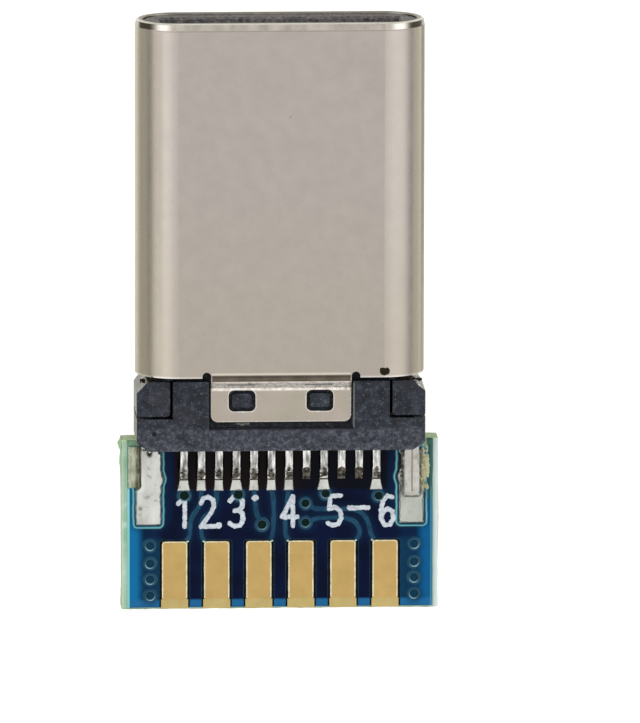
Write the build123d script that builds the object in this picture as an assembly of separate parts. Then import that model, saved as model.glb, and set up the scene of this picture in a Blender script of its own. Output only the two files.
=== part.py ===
"""A reversible data plug soldered astride the edge of a small breakout board, lying flat.

The plug's shell, insulators, contacts, latch plate and ground springs are separate pieces, as they are
on the real plug, and so are the board, its masks and its pads.
Every piece is drawn in the plug's own datum: the nose tip at Y = 0, the tail towards -Y, the contact row
along X and the middle plane of the plug at Z = 0. Each one is then moved to the row's frame, where the
shell's lower face lies on Z = 0 and the middle of the whole length is at Y = 0.
All sizes are in millimetres.
"""
import os
from math import atan2, hypot, tan

from build123d import *

# Shell: a drawn steel tube, 8.25 wide and 2.40 thick, with a tapered lip and two jogged rear tabs
row_to_shell_side = 1.375
shell_thickness = 2.40
shell_wall = 0.22
shell_length = 10.19
lip_length = 0.185
lip_taper = 0.035
lip_edge_chamfer = 0.03

# Rear tabs of the shell, one above and one below
tab_width = 4.0
tab_reach = 1.31
tab_corner = 0.2
tab_jog_start = 0.02
tab_jog_run = 0.36
tab_jog_drop = 0.25
tab_root = 0.5
window_width = 0.80
window_length = 0.64
window_corner = 0.17
window_spacing = 2.22
window_from_edge = 0.70
relief_width = 0.25
relief_depth = 0.17

# Contacts: stamped strips, two rows of places at a standard pitch
contact_pitch = 0.5
contact_places = 12
empty_lower_places = (6, 7)
contact_width = 0.20
contact_thickness = 0.12
contact_cover = 0.04
bump_reach = 0.145
bump_setback = 3.4
bump_radius = 0.3
tip_rise = 0.085
tip_setback = 2.8
beam_root_ahead = 0.35
tail_slope_start = 0.58
tail_slope_run = 0.16
tail_foot = 0.19

# Front insulator: the moulding with the tongue cavity, and its two ears behind the shell
insulator_clearance = 0.02
insulator_setback = 0.06
insulator_roof_gap = 0.20
cavity_side_wall = 0.485
cavity_roof = 0.485
cavity_end_wall = 0.90
channel_width = 0.30
channel_roof = 0.22
channel_setback = 2.6
rear_pocket_depth = 3.20
rear_pocket_roof = 0.16
rear_pocket_clearance = 0.02
nose_chamfer = 0.06

# Flange behind the shell, shared by the ears and the terminal holders
flange_gap = 0.11
flange_inset = 0.005
flange_sink = 0.02
flange_edge_round = 0.20
ear_length = 0.99
ear_gap = 0.11
ear_chamfer_x = 0.29
ear_chamfer_y = 0.33
ear_corner = 0.12

# Terminal holders: the two halves moulded around the contacts
holder_side_wall = 0.31
holder_length = 2.0
holder_chamfer_x = 0.37
holder_chamfer_y = 0.23
ear_seam = 0.08
ear_web_height = 0.6
seam = 0.005
tab_recess_side = 0.06
tab_recess_end = 0.19
tab_recess_floor = 0.02
boss_clearance = 0.12
boss_below_tab = 0.05
board_notch_clearance = 0.03

# Latch plate: one stamping at the middle plane, with arms, cross-bar and solder legs
plate_thickness = 0.20
plate_clearance = 0.02
arm_inset = 0.085
arm_width = 0.35
arm_tip_setback = 1.75
beak_setback = 2.35
beak_reach = 0.30
beak_length = 0.75
beak_flat = 0.14
crossbar_gap = 0.06
crossbar_length = 1.85
rail_inset = 0.16
leg_width = 0.40
leg_inset = 0.36
leg_pair_spacing = 0.44
leg_jog_start = 1.05
leg_jog_run = 0.36
leg_reach = 3.43
leg_pocket_side = 0.04

# Ground springs: thin plates in the insulator's pockets, with fingers that reach into the cavity
spring_thickness = 0.10
spring_overhang = 0.05
spring_setback = 0.62
spring_length = 4.6
spring_pocket_margin = 0.04
finger_count = 4
finger_width = 0.70
finger_edge = 0.50
finger_root_setback = 2.35
finger_tip_setback = 0.95
finger_bump_setback = 1.30
finger_bump_rise = 0.025
finger_tip_rise = 0.145
finger_window_margin = 0.08

# Board: laminate with plated pads on both faces
board_side_overhang = 0.395
board_length = 4.90
board_thickness = 0.80
board_overlap = 0.20
copper_thickness = 0.035
mask_thickness = 0.025
mask_side_margin = 0.22
mask_rear_margin = 0.04
mask_opening_margin = 0.05

# Pads, with distances from the board's front edge
# A contact's pad is narrow under its tail and flares behind it, more so where a via follows
contact_pad_start = 0.45
contact_pad_end = 1.48
contact_pad_neck = 0.18
contact_pad_mouth = 0.235
contact_pad_flare = 0.27
via_pad_flare = 0.36
unsoldered_upper_places = (8, 10, 11)
wire_pad_count = 6
wire_pad_margin = 1.155
wire_pad_width = 0.70
wire_pad_start = 2.96
wire_pad_foot_width = 0.77
wire_pad_foot_length = 0.27
shield_pad_width = 0.69
shield_pad_start = 0.30
shield_pad_length = 2.15

# Solder over the legs of the latch plate
solder_height = 0.14
solder_edge = 0.05
solder_slope = 40

# Copper traces under the masks, with depths behind the board's front edge
# A straight trace is given by its contact's place, its wire pad, the pad's side and where it slants
trace_width = 0.13
trace_start = 1.40
upper_straight_traces = ((2, 1, 1, 1.85), (3, 2, -1, 1.95), (6, 3, 1, 2.60), (7, 4, -1, 2.35))
lower_turn_depth = 1.90
lower_straight_traces = ((2, 1, 1), (3, 2, -1), (5, 3, 0), (8, 4, 0), (10, 5, 1), (11, 6, -1))
row_via_depth = 1.63
row_via_places = (1, 4, 9, 12)
lone_via_place = 5
lone_via_offset = -0.57
lone_via_depth = 2.50
lone_via_slant = 0.35
bridge_via_offset = 0.68
bridge_slant = 0.45
bridge_traces = ((1.88, 2.04, 6, -1), (2.44, 2.32, 5, 1))

# Places along the plug that follow from the sizes above
shell_back = -shell_length
flange_front = shell_back - flange_gap
ear_back = flange_front - ear_length
flange_back = flange_front - holder_length
pocket_front = flange_front + rear_pocket_depth
cavity_end = pocket_front + cavity_end_wall
holder_front = pocket_front - rear_pocket_clearance
crossbar_front = pocket_front - crossbar_gap
crossbar_back = crossbar_front - crossbar_length
board_front = flange_back + board_overlap
board_back = board_front - board_length
tab_back = shell_back - tab_reach
overall_length = -board_back

# Widths and places across the plug
contact_row = (contact_places - 1) * contact_pitch
shell_width = contact_row + 2 * row_to_shell_side
insulator_width = shell_width - 2 * (shell_wall + insulator_clearance)
cavity_width = insulator_width - 2 * cavity_side_wall
flange_width = shell_width - 2 * flange_inset
board_width = flange_width + 2 * board_side_overhang
holder_half_width = contact_row / 2 + holder_side_wall
rear_pocket_half_width = holder_half_width + rear_pocket_clearance
ear_inner_edge = holder_half_width + ear_gap
arm_outer_edge = insulator_width / 2 - arm_inset
arm_inner_edge = arm_outer_edge - arm_width
rail_outer_edge = flange_width / 2 - rail_inset
upper_leg_offset = flange_width / 2 - leg_inset
lower_leg_offset = upper_leg_offset - leg_pair_spacing
spring_width = contact_row + 2 * spring_overhang
finger_pitch = (spring_width - finger_width - 2 * finger_edge) / (finger_count - 1)
wire_pad_pitch = (board_width - wire_pad_width - 2 * wire_pad_margin) / (wire_pad_count - 1)

# Levels above the middle plane
insulator_thickness = shell_thickness - 2 * (shell_wall + insulator_clearance)
shell_inner_level = shell_thickness / 2 - shell_wall
cavity_height = insulator_thickness - 2 * cavity_roof
channel_level = insulator_thickness / 2 - channel_roof
rear_pocket_level = insulator_thickness / 2 - rear_pocket_roof
holder_inner_height = rear_pocket_level - rear_pocket_clearance
flange_thickness = shell_thickness - 2 * flange_sink
tab_centre_level = shell_thickness / 2 - shell_wall / 2
tab_outer_level = shell_thickness / 2 - tab_jog_drop
tab_floor_level = tab_outer_level - shell_wall - tab_recess_floor
contact_level = tab_floor_level - contact_cover - contact_thickness / 2
bump_level = cavity_height / 2 - bump_reach
tip_level = cavity_height / 2 + tip_rise
spring_level = shell_inner_level - insulator_clearance / 2 - spring_thickness / 2
finger_bump_level = cavity_height / 2 + finger_bump_rise
finger_tip_level = cavity_height / 2 + finger_tip_rise
plate_slot = plate_thickness / 2 + plate_clearance
board_top = board_thickness / 2
pad_top = board_top + copper_thickness
mask_top = board_top + mask_thickness
ridge_top = mask_top + copper_thickness
foot_level = pad_top + contact_thickness / 2
leg_level = pad_top + plate_thickness / 2
far = 2 * (shell_width + overall_length)


def box(x_low, x_high, y_back, y_front, z_low, z_high):
    """Plain block between the given limits."""
    centre = ((x_low + x_high) / 2, (y_back + y_front) / 2, (z_low + z_high) / 2)
    return Pos(*centre) * Box(x_high - x_low, y_front - y_back, z_high - z_low)


def along_plug(section, y_front, y_back):
    """A section drawn across the plug, run from y_front back to y_back."""
    return extrude(Plane.XZ.offset(-y_front) * section, amount=y_front - y_back)


def upright(outline, z_low, z_high):
    """An outline drawn in plan, raised from z_low to z_high."""
    return extrude(Pos(0, 0, z_low) * outline, amount=z_high - z_low)


def across(side_view, x_centre, width):
    """A side view drawn in Y and Z, made as wide as the strip around x_centre."""
    return extrude(Plane.YZ.offset(x_centre - width / 2) * side_view, amount=width)


def below(part):
    """The same piece on the plug's other face."""
    return mirror(part, about=Plane.XY)


def to_left(part):
    """The same piece on the plug's other side."""
    return mirror(part, about=Plane.YZ)


def line_beside(corners, bends, distance):
    """Corners and bend radii of the line that runs at a distance to the left of a centre line."""
    runs = [(end - start).normalized() for start, end in zip(corners, corners[1:])]
    sides = [Vector(-run.Y, run.X) for run in runs]
    moved = [corners[0] + sides[0] * distance]
    radii = []
    for index, bend in enumerate(bends):
        meeting = sides[index] + sides[index + 1]
        share = distance / (1 + sides[index].dot(sides[index + 1]))
        moved.append(corners[index + 1] + meeting * share)
        turns_left = runs[index].cross(runs[index + 1]).Z > 0
        beside = bend - distance if turns_left else bend + distance
        radii.append(beside if bend else 0)
    moved.append(corners[-1] + sides[-1] * distance)
    return moved, radii


def strip(points, bends, thickness):
    """Face of an even strip along a bent centre line, with a bend radius or 0 for each inner corner."""
    corners = [Vector(*point) for point in points]
    left, left_radii = line_beside(corners, bends, thickness / 2)
    right, right_radii = line_beside(corners, bends, -thickness / 2)
    if not any(bends):
        return make_face(Polyline(*left, *reversed(right), close=True))
    outline = [
        FilletPolyline(left, radius=left_radii),
        Line(left[-1], right[-1]),
        FilletPolyline(right, radius=right_radii),
        Line(right[0], left[0]),
    ]
    return make_face(outline)


def jog_bend(run, drop, thickness):
    """Bend radius in a jog of this run and drop: gentle, yet small enough that both bends fit its slope."""
    turn = atan2(abs(drop), run)
    longest = 0.48 * hypot(run, drop) / tan(turn / 2)
    return min(1.6 * thickness, longest)


def contact_x(place):
    """Place of an upper contact along the row, counted from the left."""
    return (place - (contact_places + 1) / 2) * contact_pitch


def window_places():
    """Centres of the two windows in a tab."""
    y = shell_back - window_from_edge
    return [(side * window_spacing / 2, y) for side in (-1, 1)]


# Shell


def tab_profile():
    """Side view of the upper tab: out of the wall, inward through a jog, and straight back."""
    jog_front = shell_back + tab_jog_start
    low = tab_centre_level - tab_jog_drop
    points = [
        (shell_back + tab_root, tab_centre_level),
        (jog_front, tab_centre_level),
        (jog_front - tab_jog_run, low),
        (tab_back, low),
    ]
    return strip(points, [jog_bend(tab_jog_run, tab_jog_drop, shell_wall)] * 2, shell_wall)


def upper_tab():
    """Jogged tab behind the shell's rear edge, with rounded corners and two windows."""
    length = tab_reach + tab_root
    plan = Pos(0, tab_back + length) * Rectangle(tab_width, 2 * length)
    plan = fillet(plan.vertices().group_by(Axis.Y)[0], tab_corner)
    for x, y in window_places():
        plan -= Pos(x, y) * RectangleRounded(window_width, window_length, window_corner)
    return across(tab_profile(), 0, tab_width) & upright(plan, 0, shell_thickness)


def relief_notches():
    """Round-ended cuts in the tube's rear edge, one on each side of the tab."""
    x = (tab_width + relief_width) / 2
    top = shell_back + relief_depth
    cuts = []
    centre = top - relief_width / 2
    for side in (-1, 1):
        slot = Pos(side * x, centre) * Circle(relief_width / 2)
        slot += Pos(side * x, centre - relief_depth) * Rectangle(relief_width, 2 * relief_depth)
        cuts.append(upright(slot, shell_inner_level - shell_wall, shell_thickness))
    return cuts


def lip_block():
    """Solid end of the tube, where its outside tapers towards the nose."""
    drop = 2 * min(lip_taper, 0.3 * shell_wall)
    root = Plane.XZ.offset(lip_length) * SlotOverall(shell_width, shell_thickness)
    tip = Plane.XZ * SlotOverall(shell_width - drop, shell_thickness - drop)
    return loft([root, tip], ruled=True)


def shell():
    """Seamless oblong tube with a tapered lip, relief notches and the two tabs."""
    outside = SlotOverall(shell_width, shell_thickness)
    inside = SlotOverall(shell_width - 2 * shell_wall, shell_thickness - 2 * shell_wall)
    tube = along_plug(outside, -lip_length, shell_back) + lip_block()
    tube -= along_plug(inside, 0, shell_back)
    nose = tube.faces().filter_by(Axis.Y).sort_by(Axis.Y)[-1]
    tube = chamfer(nose.edges(), min(lip_edge_chamfer, 0.2 * shell_wall))
    for notch in relief_notches():
        tube -= notch
        tube -= below(notch)
    tab = upper_tab()
    return tube + tab + below(tab)


# Insulators


def flange_envelope():
    """The outer form that the ears and the holders share behind the shell, with cut rear corners."""
    section = RectangleRounded(flange_width, flange_thickness, flange_edge_round)
    block = along_plug(section, flange_front, flange_back)
    outer = flange_width / 2
    corner = make_face(
        Polyline(
            (outer, flange_back),
            (outer, flange_back + holder_chamfer_y),
            (outer - holder_chamfer_x, flange_back),
            close=True,
        )
    )
    corner = upright(corner, -flange_thickness, flange_thickness)
    return block - corner - to_left(corner)


def ear():
    """Right ear, with a chamfered front corner, a rounded rear corner and a web that closes its seam."""
    outer = flange_width / 2
    plan = make_face(
        Polyline(
            (ear_inner_edge, ear_back),
            (outer, ear_back),
            (outer, flange_front - ear_chamfer_y),
            (outer - min(ear_chamfer_x, 0.6 * (outer - ear_inner_edge)), flange_front),
            (ear_inner_edge, flange_front),
            close=True,
        )
    )
    inner_rear = plan.vertices().sort_by_distance(Vector(ear_inner_edge, ear_back))[0]
    plan = fillet(inner_rear, ear_corner)
    block = upright(plan, -flange_thickness / 2, flange_thickness / 2) & flange_envelope()
    web_inner = ear_inner_edge - ear_seam
    web_back = ear_back + 2 * ear_corner
    web = box(web_inner, ear_inner_edge, web_back, flange_front, -ear_web_height / 2, ear_web_height / 2)
    return block + web


def channels():
    """Room for the contact beams, above the cavity."""
    cuts = []
    for place in range(1, contact_places + 1):
        x = contact_x(place)
        half = channel_width / 2
        cuts.append(box(x - half, x + half, pocket_front, -channel_setback, 0, channel_level))
    return cuts


def finger_places():
    """Centres of the ground spring's fingers."""
    return [(index - (finger_count - 1) / 2) * finger_pitch for index in range(finger_count)]


def spring_room():
    """Pocket for the upper ground spring and the windows for its fingers."""
    margin = spring_pocket_margin
    half = spring_width / 2 + margin
    floor = spring_level - spring_thickness / 2 - insulator_clearance / 2
    back = -(spring_setback + spring_length) - margin
    cuts = [box(-half, half, back, -spring_setback + margin, floor, shell_thickness)]
    half_window = finger_width / 2 + finger_window_margin
    for x in finger_places():
        front = -finger_tip_setback + 2 * finger_window_margin
        cuts.append(box(x - half_window, x + half_window, -finger_root_setback, front, 0, shell_thickness))
    return cuts


def front_insulator():
    """Moulding inside the shell: tongue cavity, contact channels, latch slots, pockets and ears."""
    front = -insulator_setback
    body = along_plug(SlotOverall(insulator_width, insulator_thickness), front, flange_front)
    half_width, half_height = cavity_width / 2, cavity_height / 2
    body -= box(-half_width, half_width, cavity_end, front, -half_height, half_height)
    mouth = body.faces().sort_by(Axis.Y)[-1].inner_wires()[0].edges()
    body = chamfer(mouth, nose_chamfer)
    upper_cuts = channels() + spring_room()
    body -= upper_cuts
    body -= [below(cut) for cut in upper_cuts]
    pocket = rear_pocket_half_width
    roof_back = shell_back + insulator_roof_gap
    body -= box(-pocket, pocket, flange_front, pocket_front, -rear_pocket_level, rear_pocket_level)
    body -= box(-pocket, pocket, flange_front, roof_back, -shell_thickness, shell_thickness)
    right_ear = ear()
    body += [right_ear, to_left(right_ear)]
    slot_front = -arm_tip_setback + 2 * plate_clearance
    arm_slot = box(pocket, shell_width / 2, flange_front, slot_front, -plate_slot, plate_slot)
    rail_slot = box(
        ear_inner_edge, rail_outer_edge + plate_clearance, ear_back, flange_front, -plate_slot, plate_slot
    )
    leg_room = leg_pocket()
    for cut in (arm_slot, rail_slot, leg_room):
        body -= cut
        body -= to_left(cut)
    return body


def leg_pocket():
    """Room in the right side of the flange for both solder legs and their jogs."""
    inner = lower_leg_offset - leg_width / 2 - leg_pocket_side
    outer = upper_leg_offset + leg_width / 2 + leg_pocket_side
    top = leg_level + plate_thickness / 2 + plate_clearance
    front = flange_front - leg_jog_start + leg_pocket_side
    return box(inner, outer, flange_back, front, -top, top)


def holder_block():
    """The upper holder's outer form: the part inside the insulator and the part behind the shell."""
    outer = flange_width / 2
    half = holder_half_width
    inside = box(-half, half, flange_front, holder_front, seam, holder_inner_height)
    behind = box(-outer, outer, flange_back, flange_front, seam, flange_thickness)
    for side in (-1, 1):
        inner = ear_inner_edge - ear_seam
        x_low, x_high = sorted((side * inner, side * 2 * outer))
        behind -= box(x_low, x_high, ear_back - ear_seam, flange_front, 0, flange_thickness)
    return inside + (behind & flange_envelope())


def tab_recess():
    """Recess in the upper holder that the shell's tab lies in."""
    half = tab_width / 2 + tab_recess_side
    back = tab_back - tab_recess_end
    return box(-half, half, back, flange_front, tab_floor_level, shell_thickness)


def window_bosses():
    """Moulded bosses that stand in the tab's windows."""
    top = tab_outer_level - boss_below_tab
    bosses = []
    for x, y in window_places():
        width = window_width - 2 * boss_clearance
        length = window_length - 2 * boss_clearance
        plan = Pos(x, y) * RectangleRounded(width, length, window_corner / 2)
        bosses.append(upright(plan, tab_floor_level, top))
    return bosses


def contact_tunnels(places):
    """Tight holes in the upper holder, one for each contact that it is moulded around."""
    half = contact_width / 2
    low = contact_level - contact_thickness / 2
    high = contact_level + contact_thickness / 2
    return [
        box(contact_x(place) - half, contact_x(place) + half, flange_back, holder_front, low, high)
        for place in places
    ]


def terminal_holder(places):
    """Upper terminal holder, moulded around the contacts at the given places."""
    body = holder_block() - tab_recess()
    body += window_bosses()
    body -= box(-far, far, crossbar_back - plate_clearance, 0, 0, plate_slot)
    rail_room = box(ear_inner_edge - plate_clearance, far, flange_back, flange_front, 0, plate_slot)
    notch_front = board_front + board_notch_clearance
    board_room = box(-far, far, flange_back, notch_front, 0, mask_top + board_notch_clearance)
    body -= [rail_room, to_left(rail_room), board_room, leg_pocket(), to_left(leg_pocket())]
    return body - contact_tunnels(places)


# Contacts


def contact_profile():
    """Side view of an upper contact: foot, gull-wing slope, straight run, beam, bump and tip."""
    slope_front = flange_back - tail_slope_start
    slope_back = slope_front - tail_slope_run
    points = [
        (slope_back - tail_foot, foot_level),
        (slope_back, foot_level),
        (slope_front, contact_level),
        (holder_front + beam_root_ahead, contact_level),
        (-bump_setback, bump_level),
        (-tip_setback, tip_level),
    ]
    tail_bend = jog_bend(tail_slope_run, contact_level - foot_level, contact_thickness)
    bends = [tail_bend, tail_bend, 0, bump_radius]
    return strip(points, bends, contact_thickness)


def upper_contact(place):
    """One stamped and bent contact of the upper row."""
    return across(contact_profile(), contact_x(place), contact_width)


# Latch plate and ground springs


def plate_outline():
    """Plan of the right half of the latch plate: arm with its beak, cross-bar and rear rail."""
    rail_back = flange_front - leg_jog_start
    beak_tip = arm_inner_edge - beak_reach
    points = [
        (0, crossbar_front),
        (arm_inner_edge, crossbar_front),
        (arm_inner_edge, -beak_setback - beak_length),
        (beak_tip, -beak_setback),
        (beak_tip, -beak_setback + beak_flat),
        (arm_inner_edge, -arm_tip_setback),
        (arm_outer_edge, -arm_tip_setback),
        (arm_outer_edge, flange_front),
        (rail_outer_edge, flange_front - ear_seam),
        (rail_outer_edge, rail_back),
        (ear_inner_edge, rail_back),
        (ear_inner_edge, crossbar_back),
        (0, crossbar_back),
    ]
    return make_face(Polyline(*points, close=True))


def solder_leg():
    """Leg that jogs up from the plate to the board's upper face, drawn at X = 0."""
    start = flange_front - leg_jog_start
    end = flange_front - leg_reach
    jog_front = start - plate_thickness
    points = [
        (start + plate_thickness, 0),
        (jog_front, 0),
        (jog_front - leg_jog_run, leg_level),
        (end, leg_level),
    ]
    bend = jog_bend(leg_jog_run, leg_level, plate_thickness)
    leg = across(strip(points, [bend] * 2, plate_thickness), 0, leg_width)
    plan_length = start + plate_thickness - end
    plan = Pos(0, end + plan_length / 2) * Rectangle(leg_width, plan_length)
    plan = fillet(plan.vertices().group_by(Axis.Y)[0], 0.45 * leg_width)
    return leg & upright(plan, -plate_thickness, 2 * leg_level)


def latch_plate():
    """One stamping: latch arms, cross-bar, rear rails and the four solder legs."""
    half = upright(plate_outline(), -plate_thickness / 2, plate_thickness / 2)
    half += Pos(upper_leg_offset, 0, 0) * solder_leg()
    half += Pos(lower_leg_offset, 0, 0) * below(solder_leg())
    return half + to_left(half)


def spring_finger():
    """One finger of the upper ground spring: down to its bump and up again at the tip."""
    points = [
        (-finger_root_setback - spring_thickness, spring_level),
        (-finger_root_setback, spring_level),
        (-finger_bump_setback, finger_bump_level),
        (-finger_tip_setback, finger_tip_level),
    ]
    return strip(points, [2 * spring_thickness] * 2, spring_thickness)


def ground_spring():
    """Upper ground spring: a thin plate whose front is cut into fingers."""
    front = -finger_root_setback
    back = -spring_setback - spring_length
    half = spring_width / 2
    low = spring_level - spring_thickness / 2
    high = spring_level + spring_thickness / 2
    body = box(-half, half, back, front, low, high)
    outer = finger_places()[-1] + finger_width / 2 + finger_window_margin
    for side in (-1, 1):
        x_low, x_high = sorted((side * outer, side * half))
        body += box(x_low, x_high, front, -spring_setback, low, high)
    body += [across(spring_finger(), x, finger_width) for x in finger_places()]
    return body


# Board


def from_board_front(depth):
    """Y of a place at this depth behind the board's front edge."""
    return board_front - depth


def soldered_places(is_upper):
    """Contact places that have a pad on this face of the board."""
    missing = unsoldered_upper_places if is_upper else empty_lower_places
    return [place for place in range(1, contact_places + 1) if place not in missing]


def symmetric_plan(widths):
    """Plan outline that is symmetric about X = 0, from its widths at places along Y."""
    right = [(width / 2, y) for width, y in widths]
    left = [(-x, y) for x, y in reversed(right)]
    return make_face(Polyline(*right, *left, close=True))


def contact_pad_plans(is_upper):
    """Plans of the pads under the contact tails: a hidden neck, then a flare behind the tail's end."""
    tail_end = flange_back - tail_slope_start - tail_slope_run - tail_foot
    start, end = from_board_front(contact_pad_start), from_board_front(contact_pad_end)
    plans = []
    for place in soldered_places(is_upper):
        flare = via_pad_flare if place in row_via_places else contact_pad_flare
        widths = ((contact_pad_neck, start), (contact_pad_neck, tail_end))
        widths += ((contact_pad_mouth, tail_end), (flare, end))
        plans.append(Pos(contact_x(place), 0) * symmetric_plan(widths))
    return plans


def wire_pad_plans():
    """Plans of the six wire pads at the board's rear edge, each a little wider at its foot."""
    start, end = from_board_front(wire_pad_start), board_back
    foot = end + wire_pad_foot_length
    widths = ((wire_pad_width, start), (wire_pad_width, foot))
    widths += ((wire_pad_foot_width, foot), (wire_pad_foot_width, end))
    return [Pos(x, 0) * symmetric_plan(widths) for x in wire_pad_x()]


def shield_pad_plans(is_upper):
    """Plans of the two large pads that the latch plate's legs are soldered to."""
    x = upper_leg_offset if is_upper else lower_leg_offset
    y = from_board_front(shield_pad_start + shield_pad_length / 2)
    pad = Rectangle(shield_pad_width, shield_pad_length)
    return [Pos(side * x, y) * pad for side in (-1, 1)]


def pads_from(plans):
    """Copper pads on the board's upper face."""
    return [upright(plan, board_top, pad_top) for plan in plans]


def wire_pad_x():
    """Places of the wire pads along X, from the left."""
    return [(index - (wire_pad_count - 1) / 2) * wire_pad_pitch for index in range(wire_pad_count)]


def pad_side_x(pad, side):
    """X of a trace that meets a wire pad at its left side, middle or right side."""
    centre = (pad - (wire_pad_count + 1) / 2) * wire_pad_pitch
    return centre + side * (wire_pad_width - trace_width) / 2


def straight_trace(place, pad, side, turn_depth=lower_turn_depth):
    """Trace from a contact's pad to a wire pad, slanting from turn_depth on."""
    start_x = contact_x(place)
    end_x = pad_side_x(pad, side)
    turn_end = min(turn_depth + abs(end_x - start_x), wire_pad_start - trace_width)
    return [(start_x, trace_start), (start_x, turn_depth), (end_x, turn_end), (end_x, wire_pad_start)]


def bridge_trace(via_depth, across_depth, pad, side):
    """Trace from a bridging via across the board, then down to one side of a wire pad."""
    end_x = pad_side_x(pad, side)
    return [
        (bridge_via_offset, via_depth),
        (bridge_via_offset + 2 * abs(across_depth - via_depth), across_depth),
        (end_x - bridge_slant, across_depth),
        (end_x, across_depth + bridge_slant),
        (end_x, wire_pad_start),
    ]


def via_stub(place):
    """Short trace from a contact's pad to the via behind it."""
    return [(contact_x(place), trace_start), (contact_x(place), row_via_depth)]


def trace_runs(is_upper):
    """Centre lines of one face's traces, as places along X and depths behind the board's front edge."""
    straight = upper_straight_traces if is_upper else lower_straight_traces
    runs = [straight_trace(*trace) for trace in straight]
    runs += [via_stub(place) for place in row_via_places]
    if is_upper:
        lone_x = contact_x(lone_via_place)
        slant_depth = lone_via_depth - lone_via_slant
        runs.append([(lone_x, trace_start), (lone_x, slant_depth), (lone_via_offset, lone_via_depth)])
        runs += [bridge_trace(*trace) for trace in bridge_traces]
    return runs


def mask_ridges(is_upper):
    """Ridges of a mask where it runs over the copper traces."""
    ridges = []
    for run in trace_runs(is_upper):
        points = [(x, from_board_front(depth)) for x, depth in run]
        mitres = [0] * (len(points) - 2)
        ridges.append(upright(strip(points, mitres, trace_width), board_top, ridge_top))
    return ridges


def mask_openings(is_upper):
    """Windows in the mask: tight around the contact pads, with a margin around the larger pads."""
    margin = mask_opening_margin
    openings = [upright(plan, 0, shell_thickness) for plan in contact_pad_plans(is_upper)]
    for plan in wire_pad_plans() + shield_pad_plans(is_upper):
        size = plan.bounding_box()
        grown = Rectangle(size.size.X + 2 * margin, size.size.Y + 2 * margin)
        openings.append(upright(Pos(size.center().X, size.center().Y) * grown, 0, shell_thickness))
    return openings


def solder_mask(is_upper):
    """Coating of one face, drawn on the upper face, with its pad windows."""
    half = board_width / 2 - mask_side_margin
    sheet = box(-half, half, board_back + mask_rear_margin, board_front, board_top, mask_top)
    sheet += mask_ridges(is_upper)
    return sheet - mask_openings(is_upper)


def board():
    """The laminate."""
    half = board_width / 2
    return box(-half, half, board_back, board_front, -board_top, board_top)


def shield_solder(is_upper):
    """Solder on the two shield pads of one face, drawn on the upper face, with the legs bedded in it."""
    joints = []
    for plan in shield_pad_plans(is_upper):
        size = plan.bounding_box()
        length = size.max.Y - size.min.Y - 2 * solder_edge
        bed = Rectangle(size.size.X - 2 * solder_edge, length)
        base = Pos(size.center().X, size.center().Y, pad_top) * bed
        joints.append(extrude(base, amount=solder_height, taper=solder_slope))
    legs = latch_plate() if is_upper else below(latch_plate())
    return Part() + joints - legs


def row_frame(part):
    """Move a piece from the plug's datum to the row's frame."""
    return Pos(0, overall_length / 2, shell_thickness / 2) * part


def all_pieces():
    """Every piece by its node's name, in the plug's datum."""
    upper_places = list(range(1, contact_places + 1))
    lower_places = [place for place in upper_places if place not in empty_lower_places]
    pieces = {
        "shell": shell(),
        "front_insulator": front_insulator(),
        "upper_terminal_holder": terminal_holder(upper_places),
        "lower_terminal_holder": below(terminal_holder(lower_places)),
        "latch_plate": latch_plate(),
        "upper_ground_spring": ground_spring(),
        "lower_ground_spring": below(ground_spring()),
        "board": board(),
        "upper_solder_mask": solder_mask(True),
        "lower_solder_mask": below(solder_mask(False)),
        "upper_contact_pads": Compound(children=pads_from(contact_pad_plans(True))),
        "lower_contact_pads": below(Compound(children=pads_from(contact_pad_plans(False)))),
        "upper_shield_pads": Compound(children=pads_from(shield_pad_plans(True))),
        "lower_shield_pads": below(Compound(children=pads_from(shield_pad_plans(False)))),
        "upper_shield_solder": shield_solder(True),
        "lower_shield_solder": below(shield_solder(False)),
    }
    for place in upper_places:
        pieces[f"contact_a{place:02d}"] = upper_contact(place)
    for place in lower_places:
        pieces[f"contact_b{place:02d}"] = to_left(below(upper_contact(place)))
    for number, pad in enumerate(pads_from(wire_pad_plans()), start=1):
        pieces[f"upper_wire_pad_{number}"] = pad
        pieces[f"lower_wire_pad_{number}"] = to_left(below(pad))
    return pieces


os.makedirs("parts", exist_ok=True)
for name, piece in all_pieces().items():
    export_step(row_frame(piece), f"parts/{name}.step")
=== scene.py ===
import math

import bpy
import numpy as np
from mathutils import Matrix, Vector, noise
from mathutils.geometry import delaunay_2d_cdt


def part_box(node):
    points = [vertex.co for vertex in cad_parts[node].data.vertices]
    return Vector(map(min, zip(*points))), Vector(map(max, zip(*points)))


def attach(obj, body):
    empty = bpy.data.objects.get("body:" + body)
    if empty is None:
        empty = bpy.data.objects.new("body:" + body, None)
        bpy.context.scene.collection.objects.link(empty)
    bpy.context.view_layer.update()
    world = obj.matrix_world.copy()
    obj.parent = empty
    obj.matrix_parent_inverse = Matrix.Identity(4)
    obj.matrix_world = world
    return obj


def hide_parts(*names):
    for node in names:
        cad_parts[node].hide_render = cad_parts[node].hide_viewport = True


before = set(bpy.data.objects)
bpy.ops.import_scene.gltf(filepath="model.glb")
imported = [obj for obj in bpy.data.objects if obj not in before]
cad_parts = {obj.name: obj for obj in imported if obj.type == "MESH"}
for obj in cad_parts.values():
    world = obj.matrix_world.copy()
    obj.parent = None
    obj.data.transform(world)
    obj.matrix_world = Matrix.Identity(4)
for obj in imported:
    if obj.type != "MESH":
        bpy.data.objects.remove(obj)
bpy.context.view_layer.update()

# Everything below is written in millimetres and turned into metres where a mesh is made
MM = 0.001


def mm_box(node):
    """Lowest and highest corner of a CAD node, in millimetres."""
    low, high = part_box(node)
    return low / MM, high / MM


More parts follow.
